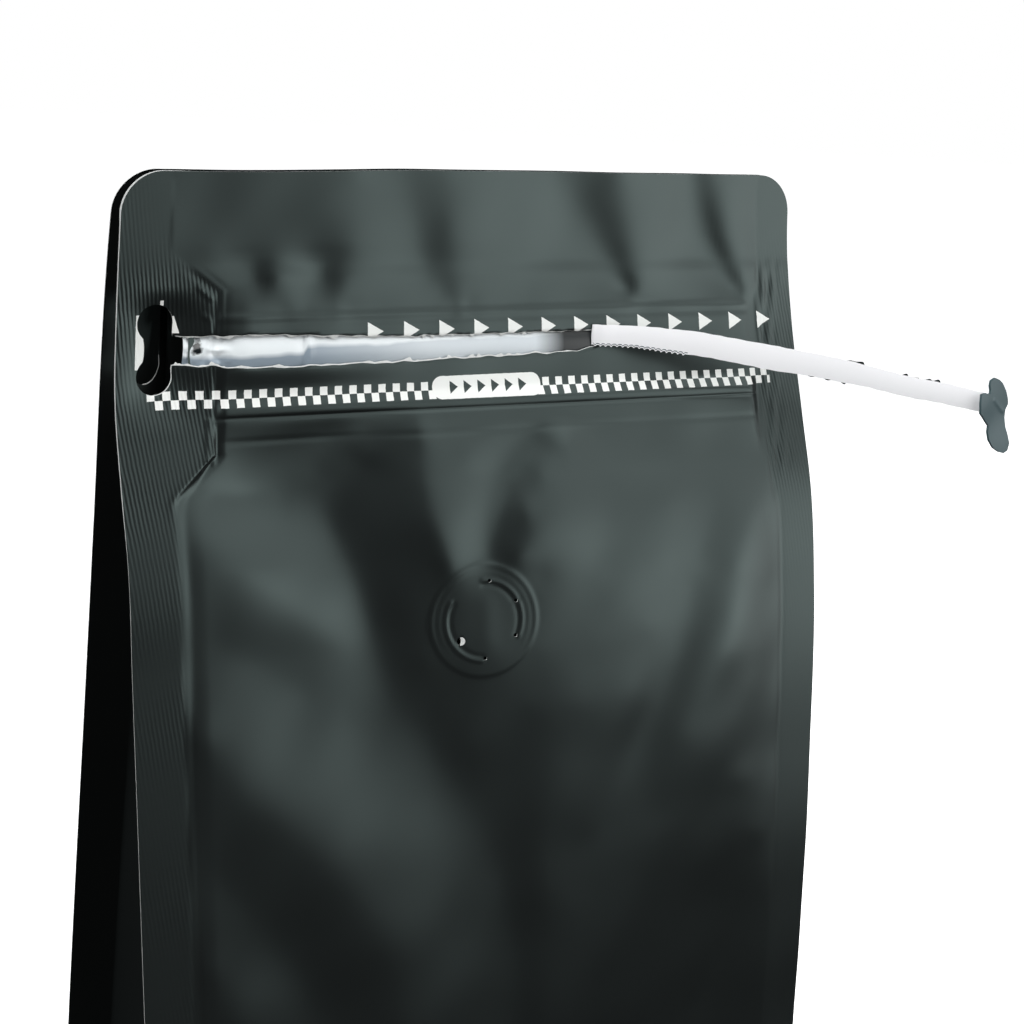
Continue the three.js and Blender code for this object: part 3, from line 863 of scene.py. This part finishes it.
def cut_layer(colours):
    """White PE sealing layer where the laminate is cut or torn: chalky, with a fuzz of about 0.5 mm."""
    def surface(tree):
        place = add_node(tree, "ShaderNodeTexCoord").outputs["Object"]
        fuzz = add_node(tree, "ShaderNodeTexNoise", {"Vector": place, "Scale": 1 / (0.5 * MM), "Detail": 3.0})
        shade = rgba([c * 0.6 for c in colours.cut])
        mix = add_node(tree, "ShaderNodeMix", {
            "Factor": fuzz, 6: shade, 7: rgba(colours.cut)}, data_type="RGBA")
        return add_node(tree, "ShaderNodeBsdfPrincipled", {
            "Base Color": mix.outputs[2], "Roughness": 0.6, "IOR": 1.51})

    return named_material("torn_white_pe", surface)


def track_shade(tree, sheet, x, z):
    """0 where the inner film greys over the track, with a wavy edge and a step at the pleat, else 1."""
    sway = add_node(tree, "ShaderNodeTexNoise", {"Vector": sheet, "Scale": 0.12, "Detail": 2.0})
    step = add_node(tree, "ShaderNodeMapRange", {
        "Value": x, "From Min": FILM_STEP[0], "From Max": FILM_STEP[1], "To Min": 0.0, "To Max": -1.3})
    swayed = add_node(tree, "ShaderNodeMath", {0: sway, 1: -1.6, 2: z}, operation="MULTIPLY_ADD")
    level = add_node(tree, "ShaderNodeMath", {0: swayed, 1: step}, operation="ADD")
    upper = add_node(tree, "ShaderNodeMapRange", {
        "Value": level, "From Min": FILM_TRACK[0], "From Max": FILM_TRACK[1]})
    fade = add_node(tree, "ShaderNodeMapRange", {
        "Value": x, "From Min": FILM_FADE[0], "From Max": FILM_FADE[1], "To Min": 0.0, "To Max": 0.6})
    return add_node(tree, "ShaderNodeMath", {0: upper, 1: fade}, operation="MAXIMUM")


def painted_dark_hole(tree, sheet):
    """1 inside a small ragged hole near the film's left end, not cut but painted dark in the shadow colour as
    the shaded inside seen through it.
    """
    offset = add_node(tree, "ShaderNodeVectorMath", {0: sheet, 1: (*FILM_SPOT, 0)}, operation="SUBTRACT")
    apart = add_node(tree, "ShaderNodeVectorMath", {0: offset}, operation="LENGTH").outputs["Value"]
    fray = add_node(tree, "ShaderNodeTexNoise", {"Vector": sheet, "Scale": 0.7, "Detail": 4.0})
    ragged = add_node(tree, "ShaderNodeMath", {0: fray, 1: 3.4, 2: apart}, operation="MULTIPLY_ADD")
    return add_node(tree, "ShaderNodeMapRange", {"Value": ragged, "From Min": 2.9, "From Max": 2.3})


def pearl_film(colours):
    """Glossy white coextruded PE film: greyer over the zipper track, with a painted shadow of the strip that
    darkens it and dulls its gloss at the root.
    """
    def surface(tree):
        sheet = add_node(tree, "ShaderNodeUVMap", uv_map="sheet_mm")
        split = add_node(tree, "ShaderNodeSeparateXYZ", {"Vector": sheet}).outputs
        light = track_shade(tree, sheet, split["X"], split["Y"])
        film = add_node(tree, "ShaderNodeMix", {
            "Factor": light, 6: rgba(colours.pearl_shade), 7: rgba(colours.pearl)}, data_type="RGBA")
        # Painted shadow of the peeled strip: the film darkens and its gloss drops towards the strip's root
        root = add_node(tree, "ShaderNodeMapRange", {
            "Value": split["X"], "From Min": FILM_ROOT_SHADOW[0], "From Max": FILM_ROOT_SHADOW[1]})
        # The painted dark hole and the painted shadow at the root share the shadow colour
        dark = add_node(tree, "ShaderNodeMath", {0: painted_dark_hole(tree, sheet), 1: root}, operation="MAXIMUM")
        mix = add_node(tree, "ShaderNodeMix", {
            "Factor": dark, 6: film.outputs[2], 7: rgba(colours.painted_shadow)}, data_type="RGBA")
        shadow_dimmed_gloss = add_node(tree, "ShaderNodeMapRange", {"Value": root, "To Min": 0.5, "To Max": 0.3})
        return add_node(tree, "ShaderNodeBsdfPrincipled", {
            "Base Color": mix.outputs[2], "Roughness": 0.24, "IOR": 1.51, "Specular IOR Level": shadow_dimmed_gloss})

    return named_material("pearl_pe_film", surface)


def strip_film(colours):
    """White PE side of the tear strip: satin, drawn lines about 0.3 mm apart and a seam near the root."""
    def surface(tree):
        sheet = add_node(tree, "ShaderNodeUVMap", uv_map="sheet_mm")
        drawn = add_node(tree, "ShaderNodeMapping", {"Vector": sheet, "Scale": (0.08, 3.0, 1)})
        lines = add_node(tree, "ShaderNodeTexNoise", {"Vector": drawn, "Scale": 1.0, "Detail": 3.0})
        gloss = add_node(tree, "ShaderNodeMapRange", {"Value": lines, "To Min": 0.3, "To Max": 0.45})
        normal = add_node(tree, "ShaderNodeBump", {"Height": lines, "Strength": 0.2, "Distance": 0.05 * MM})
        seam = field_mask(tree, sheet, (STRIP_TEETH.start, STRIP_TEETH.end), (-0.45, -0.41), 0.01)
        mix = add_node(tree, "ShaderNodeMix", {
            "Factor": seam, 6: rgba(colours.strip), 7: rgba(colours.tab)}, data_type="RGBA")
        return add_node(tree, "ShaderNodeBsdfPrincipled", {
            "Base Color": mix.outputs[2], "Roughness": gloss, "Normal": normal, "IOR": 1.51})

    return named_material("satin_white_pe", surface)


def tab_laminate(colours):
    """Two plies of matte laminate sealed together, with a slate grey base colour painted in as the sheen of
    the black laminate facing the light.
    """
    def surface(tree):
        normal, _ = film_surface(tree)
        return add_node(tree, "ShaderNodeBsdfPrincipled", {
            "Base Color": rgba(colours.tab), "Roughness": 0.5, "Normal": normal, "IOR": 1.5})

    return named_material("sealed_laminate_tab", surface)


def build_front(size, colours):
    """Front panel: folds, ribbed seals, zipper pocket and valve in one film, with its torn openings."""
    half = size.width / 2
    columns = grid_lines(-half, half, 1.1, ((-half, -49, 0.33), (-15.5, 8, 0.33), (55.5, half, 0.4)))
    rows = grid_lines(0, size.height, 1.4, (
        (177, 200, 0.35), (211.5, 223.6, 0.36), (223.6, 226.6, 0.2), (226.6, 243.4, 0.42),
        (243.4, 253.5, 0.4), (257, 265, 0.7)))
    bm = flat_sheet(columns, rows)
    trim(bm, front_openings)
    round_top(bm, size)

    def rim_depth(x, z):
        crushed_side = ease(-x, 55, 60) * ease(z, 203, 214) * (1 + ease(z, 256, 259))
        return size.film * (0.6 + 1.2 * crushed_side)

    add_rim(bm, rim_depth, torn_fringe)

    def place(x, z, depth):
        return drawn_in(x, z, size), front_run(x, z, size) - front_rise(x, z) + depth, cut_height(x, z)

    materials = (black_laminate(colours, size.rib_pitch, printed=True), cut_layer(colours))
    piece = add_piece("front_panel", bm, place, materials, "black_laminate", "pouch", ribbing=rib_strength)
    add_bake_map(piece, columns, rows)


def back_rise(x, z):
    """Outward rise of the back film: seal shoulders and shallow slack folds."""
    gap = -SEAL_INNER[0] - np.abs(x)
    shoulder = SHOULDER_RISE * ease(gap, 0, SHOULDER_REACH)
    slack = ease(gap, 0, 25) * plateau(z, 5, 60, 190, 232)
    folds = slack * (1.4 * ripple(x, z * 0.45, 46, 41) + 0.6 * ripple(x, z * 0.6, 23, 42))
    return ease(gap, -SEAL_BLUR, SEAL_BLUR) * (shoulder + folds)


def build_back(size, colours):
    """Back panel: one plain film with ribbed seals."""
    half = size.width / 2
    columns = grid_lines(-half, half, 1.6, ((-half, -57, 0.6), (57, half, 0.6)))
    rows = grid_lines(0, size.height, 1.9, ((257, 265, 0.7),))
    bm = flat_sheet(columns, rows)
    round_top(bm, size)
    add_rim(bm, size.film)

    def place(x, z, depth):
        return drawn_in(x, z, size), back_run(x, z, size) + back_rise(x, z) - depth, cut_height(x, z)

    materials = (black_laminate(colours, size.rib_pitch), cut_layer(colours))
    piece = add_piece("back_panel", bm, place, materials, "black_laminate", "pouch", flip=True,
                      ribbing=back_rib_strength)
    add_bake_map(piece, columns, rows)


def gusset_section(s, z, size):
    """Place across and share of the depth at s: 0 front edge, 1 root, 2 fold, 3 root, 4 back edge."""
    root = size.width / 2 - size.seal
    over = np.clip(z - size.height + size.corner, 0, size.corner)
    edge = size.width / 2 - size.corner + np.sqrt(size.corner ** 2 - over ** 2) - 0.15
    front = curved(FRONT_LEFT, z)
    back = curved(BACK_LEFT, z)
    gap = back - front
    depth = back[np.argmin(z)] - front[np.argmin(z)]
    reach = np.sqrt(np.maximum(depth ** 2 - gap ** 2, 0)) / 2
    fold = root - 0.75 * reach
    legs = np.abs(s - 2)
    across = np.where(legs > 1, root + (legs - 1) * (edge - root), fold + legs * (root - fold))
    share = np.where(s < 1, 0, np.where(s > 3, 1, (s - 1) / 2))
    return across, share


def gusset_place(side, size):
    """Function that puts a gusset's sheet between the two panels of its side."""
    gap = size.film + 0.1

    def place(s, z, depth):
        across, share = gusset_section(s, z, size)
        x = side * across
        near = front_run(x, z, size) - lip_wave(x, z) + gap
        far = back_run(x, z, size) - gap
        inner = np.clip(1 - np.abs(s - 2), 0, 1)
        waves = ripple(s * 30, z * 0.5, 34, 51 + side) * plateau(z, 0, 60, 190, 235)
        slack = 4 * inner * (1 - inner) * waves * np.minimum(far - near, 6) / 6
        return drawn_in(x, z, size), near + share * (far - near) + slack, cut_height(x, z)

    return place


def open_behind_hole(bm, size):
    """Takes the gusset's layer of the seal away behind the pull tab's hole."""
    reach = min((HOLE_X + size.width / 2) / size.seal + 0.6, 1.15)
    low, high = HOLE_LOBES[0] - 6, HOLE_LOBES[1] + 6
    middles = [(face, face.calc_center_median()) for face in bm.faces]
    doomed = [face for face, middle in middles if 0.12 < middle.x < reach and low < middle.y < high]
    bmesh.ops.delete(bm, geom=doomed, context="FACES")


def build_gussets(size, colours):
    """Side gussets: each lines both seals of its side and folds in between them."""
    columns = grid_lines(0, 4, 0.1, ((0.9, 1.1, 0.03), (1.9, 2.1, 0.03), (2.9, 3.1, 0.03)))
    rows = grid_lines(0.4, size.height - 1, 2.4, ((225, 264, 1.0),))
    for name, side in (("left_gusset", -1), ("right_gusset", 1)):
        bm = flat_sheet(columns, rows)
        if side < 0:
            open_behind_hole(bm, size)
        add_piece(name, bm, gusset_place(side, size), (black_laminate(colours),), "black_laminate", "pouch",
                  flip=side > 0)


def build_lining(size, colours):
    """Second layer of the left seal behind the pull tab's hole, torn along its own line with a pale lip."""
    columns = grid_lines(-size.width / 2 + 0.3, LINING_RIGHT, 0.25)
    rows = grid_lines(HOLE_LOBES[0] - 7, HOLE_LOBES[1] + 7, 0.35)
    bm = flat_sheet(columns, rows)
    shift_x, shift_z = SECOND_HOLE_SHIFT

    def second_hole(x, z):
        return bone_distance(x - shift_x, z - shift_z) - 0.1 + 0.05 * ripple(x, z, 3, 61)

    def pale_lip(x, z):
        gap, slope_x, slope_z = slope_of(second_hole, x, z)
        torn = np.abs(gap) < 0.05
        reach = 0.14 * torn * (1 - ease(z, 233, 236)) * (x > PALE_LIP_LEFT)
        return -slope_x * reach, -slope_z * reach, np.where(torn, 0.05, 0)

    trim(bm, second_hole)
    add_rim(bm, 0.1, pale_lip)
    for face in bm.faces:
        middle = face.calc_center_median()
        if middle.y > PALE_LIP_TOP or middle.x < PALE_LIP_LEFT:
            face.material_index = 0

    def place(x, z, depth):
        turned_in = 0.7 * np.maximum(x - HOLE_X + 3.5, 0)
        return drawn_in(x, z, size), front_run(x, z, size) + SECOND_HOLE_DEPTH + turned_in + depth, z

    materials = (black_laminate(colours), cut_layer(colours))
    add_piece("seal_lining", bm, place, materials, "black_laminate", "pouch")


def build_base(size, colours):
    """Flat base panel between the four seals, with its folded crosses pressed in."""
    root = size.width / 2 - size.seal
    deep = -FRONT_LEFT[0][1]
    bm = flat_sheet(grid_lines(-root, root, 1.6), grid_lines(-deep, deep, 1.6))

    def place(x, y, depth):
        side = np.minimum(root - np.abs(x), deep - np.abs(y))
        crease = 0.5 * hump(np.abs(x) - (root - deep) - np.abs(y), 0, 0.8) * ease(side, 0, 6)
        pillow = 1.6 * ease(side, 0, 30) + 0.15 * ripple(x, y, 30, 71) * ease(side, 0, 12)
        return x, y, 0.25 + pillow + crease

    add_piece("base_panel", bm, place, (black_laminate(colours),), "black_laminate", "pouch", flip=True)


def build_zipper_film(size, colours):
    """Inner film in the torn window: a glossy roll over the zipper track, crumpled at its left end."""
    columns = grid_lines(FILM_LEFT, WINDOW_RIGHT + 2.5, 0.5, ((FILM_LEFT, -46, 0.2), (-37, -33, 0.25)))
    rows = grid_lines(*FILM_HEIGHTS, 0.2)
    bm = flat_sheet(columns, rows)

    def place(x, z, depth):
        turn = np.clip((z - FILM_ROLL.crest) / FILM_ROLL.half, -1, 1) * math.pi / 2
        roll = FILM_ROLL.rise * np.cos(turn)
        left_end = ease(-x, 47, 51)
        facets = 0.5 * np.abs(ripple(x, z, 6, 81)) - 0.3 * np.abs(ripple(x, z, 4, 84))
        facets += 0.06 * ripple(x, z, 1.6, 82)
        pleat = FILM_PLEAT.rise * (hump(x, FILM_PLEAT.crest, 0.6) - hump(x, FILM_PLEAT.trough, 0.7))
        waves = 0.06 * ripple(x, z * 0.4, 9, 83)
        rise = roll * (1 - 0.4 * left_end) + left_end * (facets - 0.3) + pleat + waves
        return drawn_in(x, z, size), front_run(x, z, size) - window_lift(x, z) + 0.7 - rise, z

    piece = add_piece("zipper_film", bm, place, (pearl_film(colours),), "inner_film", "zipper_film")
    add_bake_map(piece, columns, rows)


def strip_frame(share):
    """Middle, facing and height direction of the strip at shares of its length."""
    corners = np.array(STRIP_PATH, float)
    reached = np.concatenate([[0], np.cumsum(np.linalg.norm(np.diff(corners, axis=0), axis=1))])
    reached /= reached[-1]
    step = 0.004

    def middle(at):
        return np.stack([curved(list(zip(reached, column)), at) for column in corners.T], -1)

    run = middle(np.clip(share + step, 0, 1)) - middle(np.clip(share - step, 0, 1))
    run /= np.linalg.norm(run, axis=1)[:, None]
    facing = np.cross(run, (0, 0, 1.0))
    facing /= np.linalg.norm(facing, axis=1)[:, None]
    tall = np.cross(facing, run)
    return middle(share), facing, tall


def splinters(share, along, edge):
    """How far ragged slivers of torn black laminate stand out past the strip's white side."""
    out = np.zeros_like(share)
    for start, end, side, reach in STRIP_SPLINTERS:
        t = (share - start) / (end - start)
        out += reach * plateau(t, 0, 0.75, 0.9, 1) * (edge * side > 0)
    return 0.75 * out * np.clip(0.8 + 0.4 * ripple(along, 0 * along, 1.8, 92), 0.1, 1.4)


def teeth(along, edge):
    """How far the white side's torn lower edge stands out in small teeth near the root."""
    wave = np.maximum(np.sin(2 * math.pi * along / STRIP_TEETH.pitch), 0)
    toothed = (along > STRIP_TEETH.start) & (along < STRIP_TEETH.end) & (edge < 0)
    return STRIP_TEETH.reach * wave * toothed


def build_strip(size, colours):
    """Peeled tear strip: its white inner side faces out, over the torn black outer film."""
    total = sum(math.dist(a, b) for a, b in zip(STRIP_PATH, STRIP_PATH[1:]))
    columns = grid_lines(0, total, 0.45, ((0, STRIP_TEETH.end, 0.15), (total * 0.54, total * 0.9, 0.2)))
    rows = np.linspace(-0.5, 0.5, 9)
    thickness = size.strip_thickness / 2

    def strip_place(behind, torn):
        def place(along, across, depth):
            share = along / total
            middle, facing, tall = strip_frame(share)
            width = straight(STRIP_WIDTHS, share) - 0.1 * torn
            frayed = splinters(share, along, across) if torn else teeth(along, across)
            uneven = 0.05 * ripple(along, np.sign(across) * 40, 2.5, 91) + frayed
            offset = across * (width + 2 * uneven)
            curl = 0.5 * across ** 2 - 0.1 * ripple(along, 0 * along, 17, 93)
            return (middle + tall * offset[:, None] - facing * (behind + depth + curl)[:, None]).T

        return place

    layers = (("tear_strip", 0, False, strip_film(colours), "white_film"),
              ("tear_strip_back", thickness * 1.2, True, black_laminate(colours), "black_laminate"))
    for name, behind, torn, material, slot in layers:
        bm = flat_sheet(columns, rows)
        bmesh.ops.solidify(bm, geom=list(bm.faces), thickness=thickness)
        add_piece(name, bm, strip_place(behind, torn), (material,), slot, "tear_strip", flip=True)


def build_tab(size, colours):
    """Pull tab: the bone that tore out of the seal, two plies thick, seen from its inner side."""
    loop = (*TAB_OUTLINE, TAB_OUTLINE[0])
    low, high = np.min(loop, axis=0) - 0.4, np.max(loop, axis=0) + 0.4
    bm = flat_sheet(grid_lines(low[0], high[0], 0.22), grid_lines(low[1], high[1], 0.22))
    trim(bm, lambda x, z: outline_distance(loop, x, z) - 0.1, keep_inside=True)
    bmesh.ops.solidify(bm, geom=list(bm.faces), thickness=size.tab_thickness)
    turn = np.array(Matrix.Rotation(TAB_TURN, 3, "Z"))

    def place(x, z, depth):
        bend = 0.2 * ripple(x, z, 9, 102) + 0.14 * hump(line_distance(TAB_CREASE, x, z), 0, 0.4)
        local = np.stack([x, -(depth + bend), z], -1)
        return (local @ turn.T + np.array(TAB_CENTRE)).T

    materials = (tab_laminate(colours),)
    add_piece("pull_tab", bm, place, materials, "tab_laminate", "pull_tab", flip=True, sharp=50)


def paper_sweep(colours):
    """White paper sweep: even and bright, with a fibre of about 3 mm in its faint sheen."""
    def surface(tree):
        place = add_node(tree, "ShaderNodeTexCoord").outputs["Object"]
        fibre = add_node(tree, "ShaderNodeTexNoise", {"Vector": place, "Scale": 1 / (3 * MM)})
        gloss = add_node(tree, "ShaderNodeMapRange", {"Value": fibre, "To Min": 0.7, "To Max": 0.8})
        return add_node(tree, "ShaderNodeBsdfPrincipled", {
            "Base Color": rgba(colours.floor), "Roughness": gloss,
            "Emission Color": (1, 1, 1, 1), "Emission Strength": 1.0})

    return named_material("white_paper_sweep", surface)


def build_floor(colours):
    """Wide pale floor that throws no light on the pouch, so the film's lower half stays dark."""
    bm = bmesh.new()
    bmesh.ops.create_circle(bm, cap_ends=True, segments=96, radius=6)
    mesh = bpy.data.meshes.new("floor")
    bm.to_mesh(mesh)
    bm.free()
    mesh.materials.append(paper_sweep(colours))
    floor = bpy.data.objects.new("floor", mesh)
    bpy.context.scene.collection.objects.link(floor)
    floor.visible_glossy = False
    floor.visible_diffuse = False


def build_world():
    """White surround for the eye and a dim fill for the surfaces, a little brighter from above."""
    world = bpy.data.worlds.new("studio")
    world.use_nodes = True
    tree = world.node_tree
    tree.nodes.clear()
    place = add_node(tree, "ShaderNodeTexCoord").outputs["Generated"]
    up = add_node(tree, "ShaderNodeSeparateXYZ", {"Vector": place}).outputs["Z"]
    sky = add_node(tree, "ShaderNodeMapRange", {
        "Value": up, "From Min": -0.2, "From Max": 0.2, "To Min": 0.03, "To Max": 0.1})
    fill = add_node(tree, "ShaderNodeBackground", {"Color": (0.85, 0.95, 1, 1), "Strength": sky})
    white = add_node(tree, "ShaderNodeBackground", {"Color": (1, 1, 1, 1), "Strength": 1.0})
    seen = add_node(tree, "ShaderNodeLightPath").outputs["Is Camera Ray"]
    mix = add_node(tree, "ShaderNodeMixShader", {0: seen, 1: fill, 2: white})
    add_node(tree, "ShaderNodeOutputWorld", {"Surface": mix})
    bpy.context.scene.world = world


def add_softbox(name, azimuth, elevation, aim, spread, distance, wide, tall, radiance):
    """Gridded softbox at an azimuth right of the front, tipped down by its aim, brightest straight ahead."""
    light = bpy.data.lights.new(name, "AREA")
    light.shape = "RECTANGLE"
    light.size = wide
    light.size_y = tall
    light.spread = math.radians(spread)
    half = light.spread / 2
    centre_gain = math.tan(half) / (math.tan(half) - half)
    light.energy = radiance * math.pi * wide * tall / centre_gain
    lamp = bpy.data.objects.new(name, light)
    bpy.context.scene.collection.objects.link(lamp)
    a, e = math.radians(azimuth), math.radians(elevation)
    away = Vector((math.sin(a) * math.cos(e), -math.cos(a) * math.cos(e), math.sin(e)))
    lamp.location = Vector(LIGHT_AIM) + away * distance
    lamp.rotation_euler = (math.pi / 2 - math.radians(aim), 0, a)


def build_lights():
    """Low key in front on the right, top light over it, fill from the left, and a strip light behind."""
    add_softbox("key_softbox", azimuth=45, elevation=2.1, aim=0, spread=72, distance=1.0,
                wide=1.13, tall=0.5, radiance=4.5)
    add_softbox("top_softbox", azimuth=40, elevation=47, aim=47, spread=90, distance=1.1,
                wide=1.2, tall=1.32, radiance=3.2)
    add_softbox("fill_softbox", azimuth=-68, elevation=35, aim=35, spread=90, distance=1.3,
                wide=1.5, tall=1.2, radiance=6.0)
    add_softbox("back_softbox", azimuth=165, elevation=12, aim=12, spread=110, distance=1.2,
                wide=1.8, tall=0.7, radiance=2.0)


def build_camera():
    """Camera at the photograph's viewing angle."""
    data = bpy.data.cameras.new("photo_camera")
    data.sensor_width = SENSOR_MM
    data.lens = SENSOR_MM * CAMERA_FOCAL_PIXELS / IMAGE_PIXELS
    data.clip_start = 0.01
    camera = bpy.data.objects.new("photo_camera", data)
    bpy.context.scene.collection.objects.link(camera)
    heading, pitch, roll = (math.radians(v) for v in (CAMERA_HEADING, CAMERA_PITCH, CAMERA_ROLL))
    level = math.cos(pitch)
    forward = Vector((math.sin(heading) * level, math.cos(heading) * level, -math.sin(pitch)))
    right = Vector((math.cos(heading), -math.sin(heading), 0))
    up = right.cross(forward)
    right_rolled = right * math.cos(roll) + up * math.sin(roll)
    up_rolled = up * math.cos(roll) - right * math.sin(roll)
    turned = Matrix((right_rolled, up_rolled, -forward)).transposed().to_4x4()
    camera.matrix_world = Matrix.Translation(CAMERA_PLACE) @ turned
    bpy.context.scene.camera = camera


class POUCH_OT_front_panel(bpy.types.Operator):
    """Builds the front panel with its zipper pocket, valve and openings, and the seal's lining"""
    bl_idname = "pouch.front_panel"
    bl_label = "Front Panel"

    def execute(self, context):
        build_front(*chosen(context))
        build_lining(*chosen(context))
        return {"FINISHED"}


class POUCH_OT_back_panel(bpy.types.Operator):
    """Builds the back panel"""
    bl_idname = "pouch.back_panel"
    bl_label = "Back Panel"

    def execute(self, context):
        build_back(*chosen(context))
        return {"FINISHED"}


class POUCH_OT_gussets(bpy.types.Operator):
    """Builds the two side gussets and the base panel"""
    bl_idname = "pouch.gussets"
    bl_label = "Gussets and Base"

    def execute(self, context):
        build_gussets(*chosen(context))
        build_base(*chosen(context))
        return {"FINISHED"}


class POUCH_OT_zipper_film(bpy.types.Operator):
    """Builds the inner film in the torn window"""
    bl_idname = "pouch.zipper_film"
    bl_label = "Zipper Film"

    def execute(self, context):
        build_zipper_film(*chosen(context))
        return {"FINISHED"}


class POUCH_OT_tear_strip(bpy.types.Operator):
    """Builds the peeled tear strip and its pull tab"""
    bl_idname = "pouch.tear_strip"
    bl_label = "Tear Strip and Tab"

    def execute(self, context):
        build_strip(*chosen(context))
        build_tab(*chosen(context))
        return {"FINISHED"}


class POUCH_OT_stage(bpy.types.Operator):
    """Builds the floor, the lights and the photograph's camera"""
    bl_idname = "pouch.stage"
    bl_label = "Studio Stage"

    def execute(self, context):
        build_floor(context.scene.pouch_colours)
        build_world()
        build_lights()
        build_camera()
        context.scene.view_settings.view_transform = "Standard"
        return {"FINISHED"}


class POUCH_PT_sidebar(bpy.types.Panel):
    """Lists the pouch's sizes, colours and pieces"""
    bl_idname = "POUCH_PT_sidebar"
    bl_label = "Coffee Pouch"
    bl_space_type = "VIEW_3D"
    bl_region_type = "UI"
    bl_category = "Pouch"

    def draw(self, context):
        for group in (context.scene.pouch_sizes, context.scene.pouch_colours):
            box = self.layout.box()
            for name in group.__annotations__:
                box.prop(group, name)
        for operator in OPERATORS:
            self.layout.operator(operator.bl_idname)


OPERATORS = (POUCH_OT_front_panel, POUCH_OT_back_panel, POUCH_OT_gussets, POUCH_OT_zipper_film,
             POUCH_OT_tear_strip, POUCH_OT_stage)
CLASSES = (PouchSizes, PouchColours, *OPERATORS, POUCH_PT_sidebar)


def register():
    """Registers the classes and gives the scene the pouch's sizes and colours."""
    for cls in CLASSES:
        bpy.utils.register_class(cls)
    bpy.types.Scene.pouch_sizes = bpy.props.PointerProperty(type=PouchSizes)
    bpy.types.Scene.pouch_colours = bpy.props.PointerProperty(type=PouchColours)


def unregister():
    """Takes back what register did."""
    del bpy.types.Scene.pouch_colours
    del bpy.types.Scene.pouch_sizes
    for cls in reversed(CLASSES):
        bpy.utils.unregister_class(cls)


def main():
    """Builds the pieces and the stage."""
    register()
    bpy.ops.pouch.front_panel()
    bpy.ops.pouch.back_panel()
    bpy.ops.pouch.gussets()
    bpy.ops.pouch.zipper_film()
    bpy.ops.pouch.tear_strip()
    bpy.ops.pouch.stage()


if __name__ == "__main__":
    main()
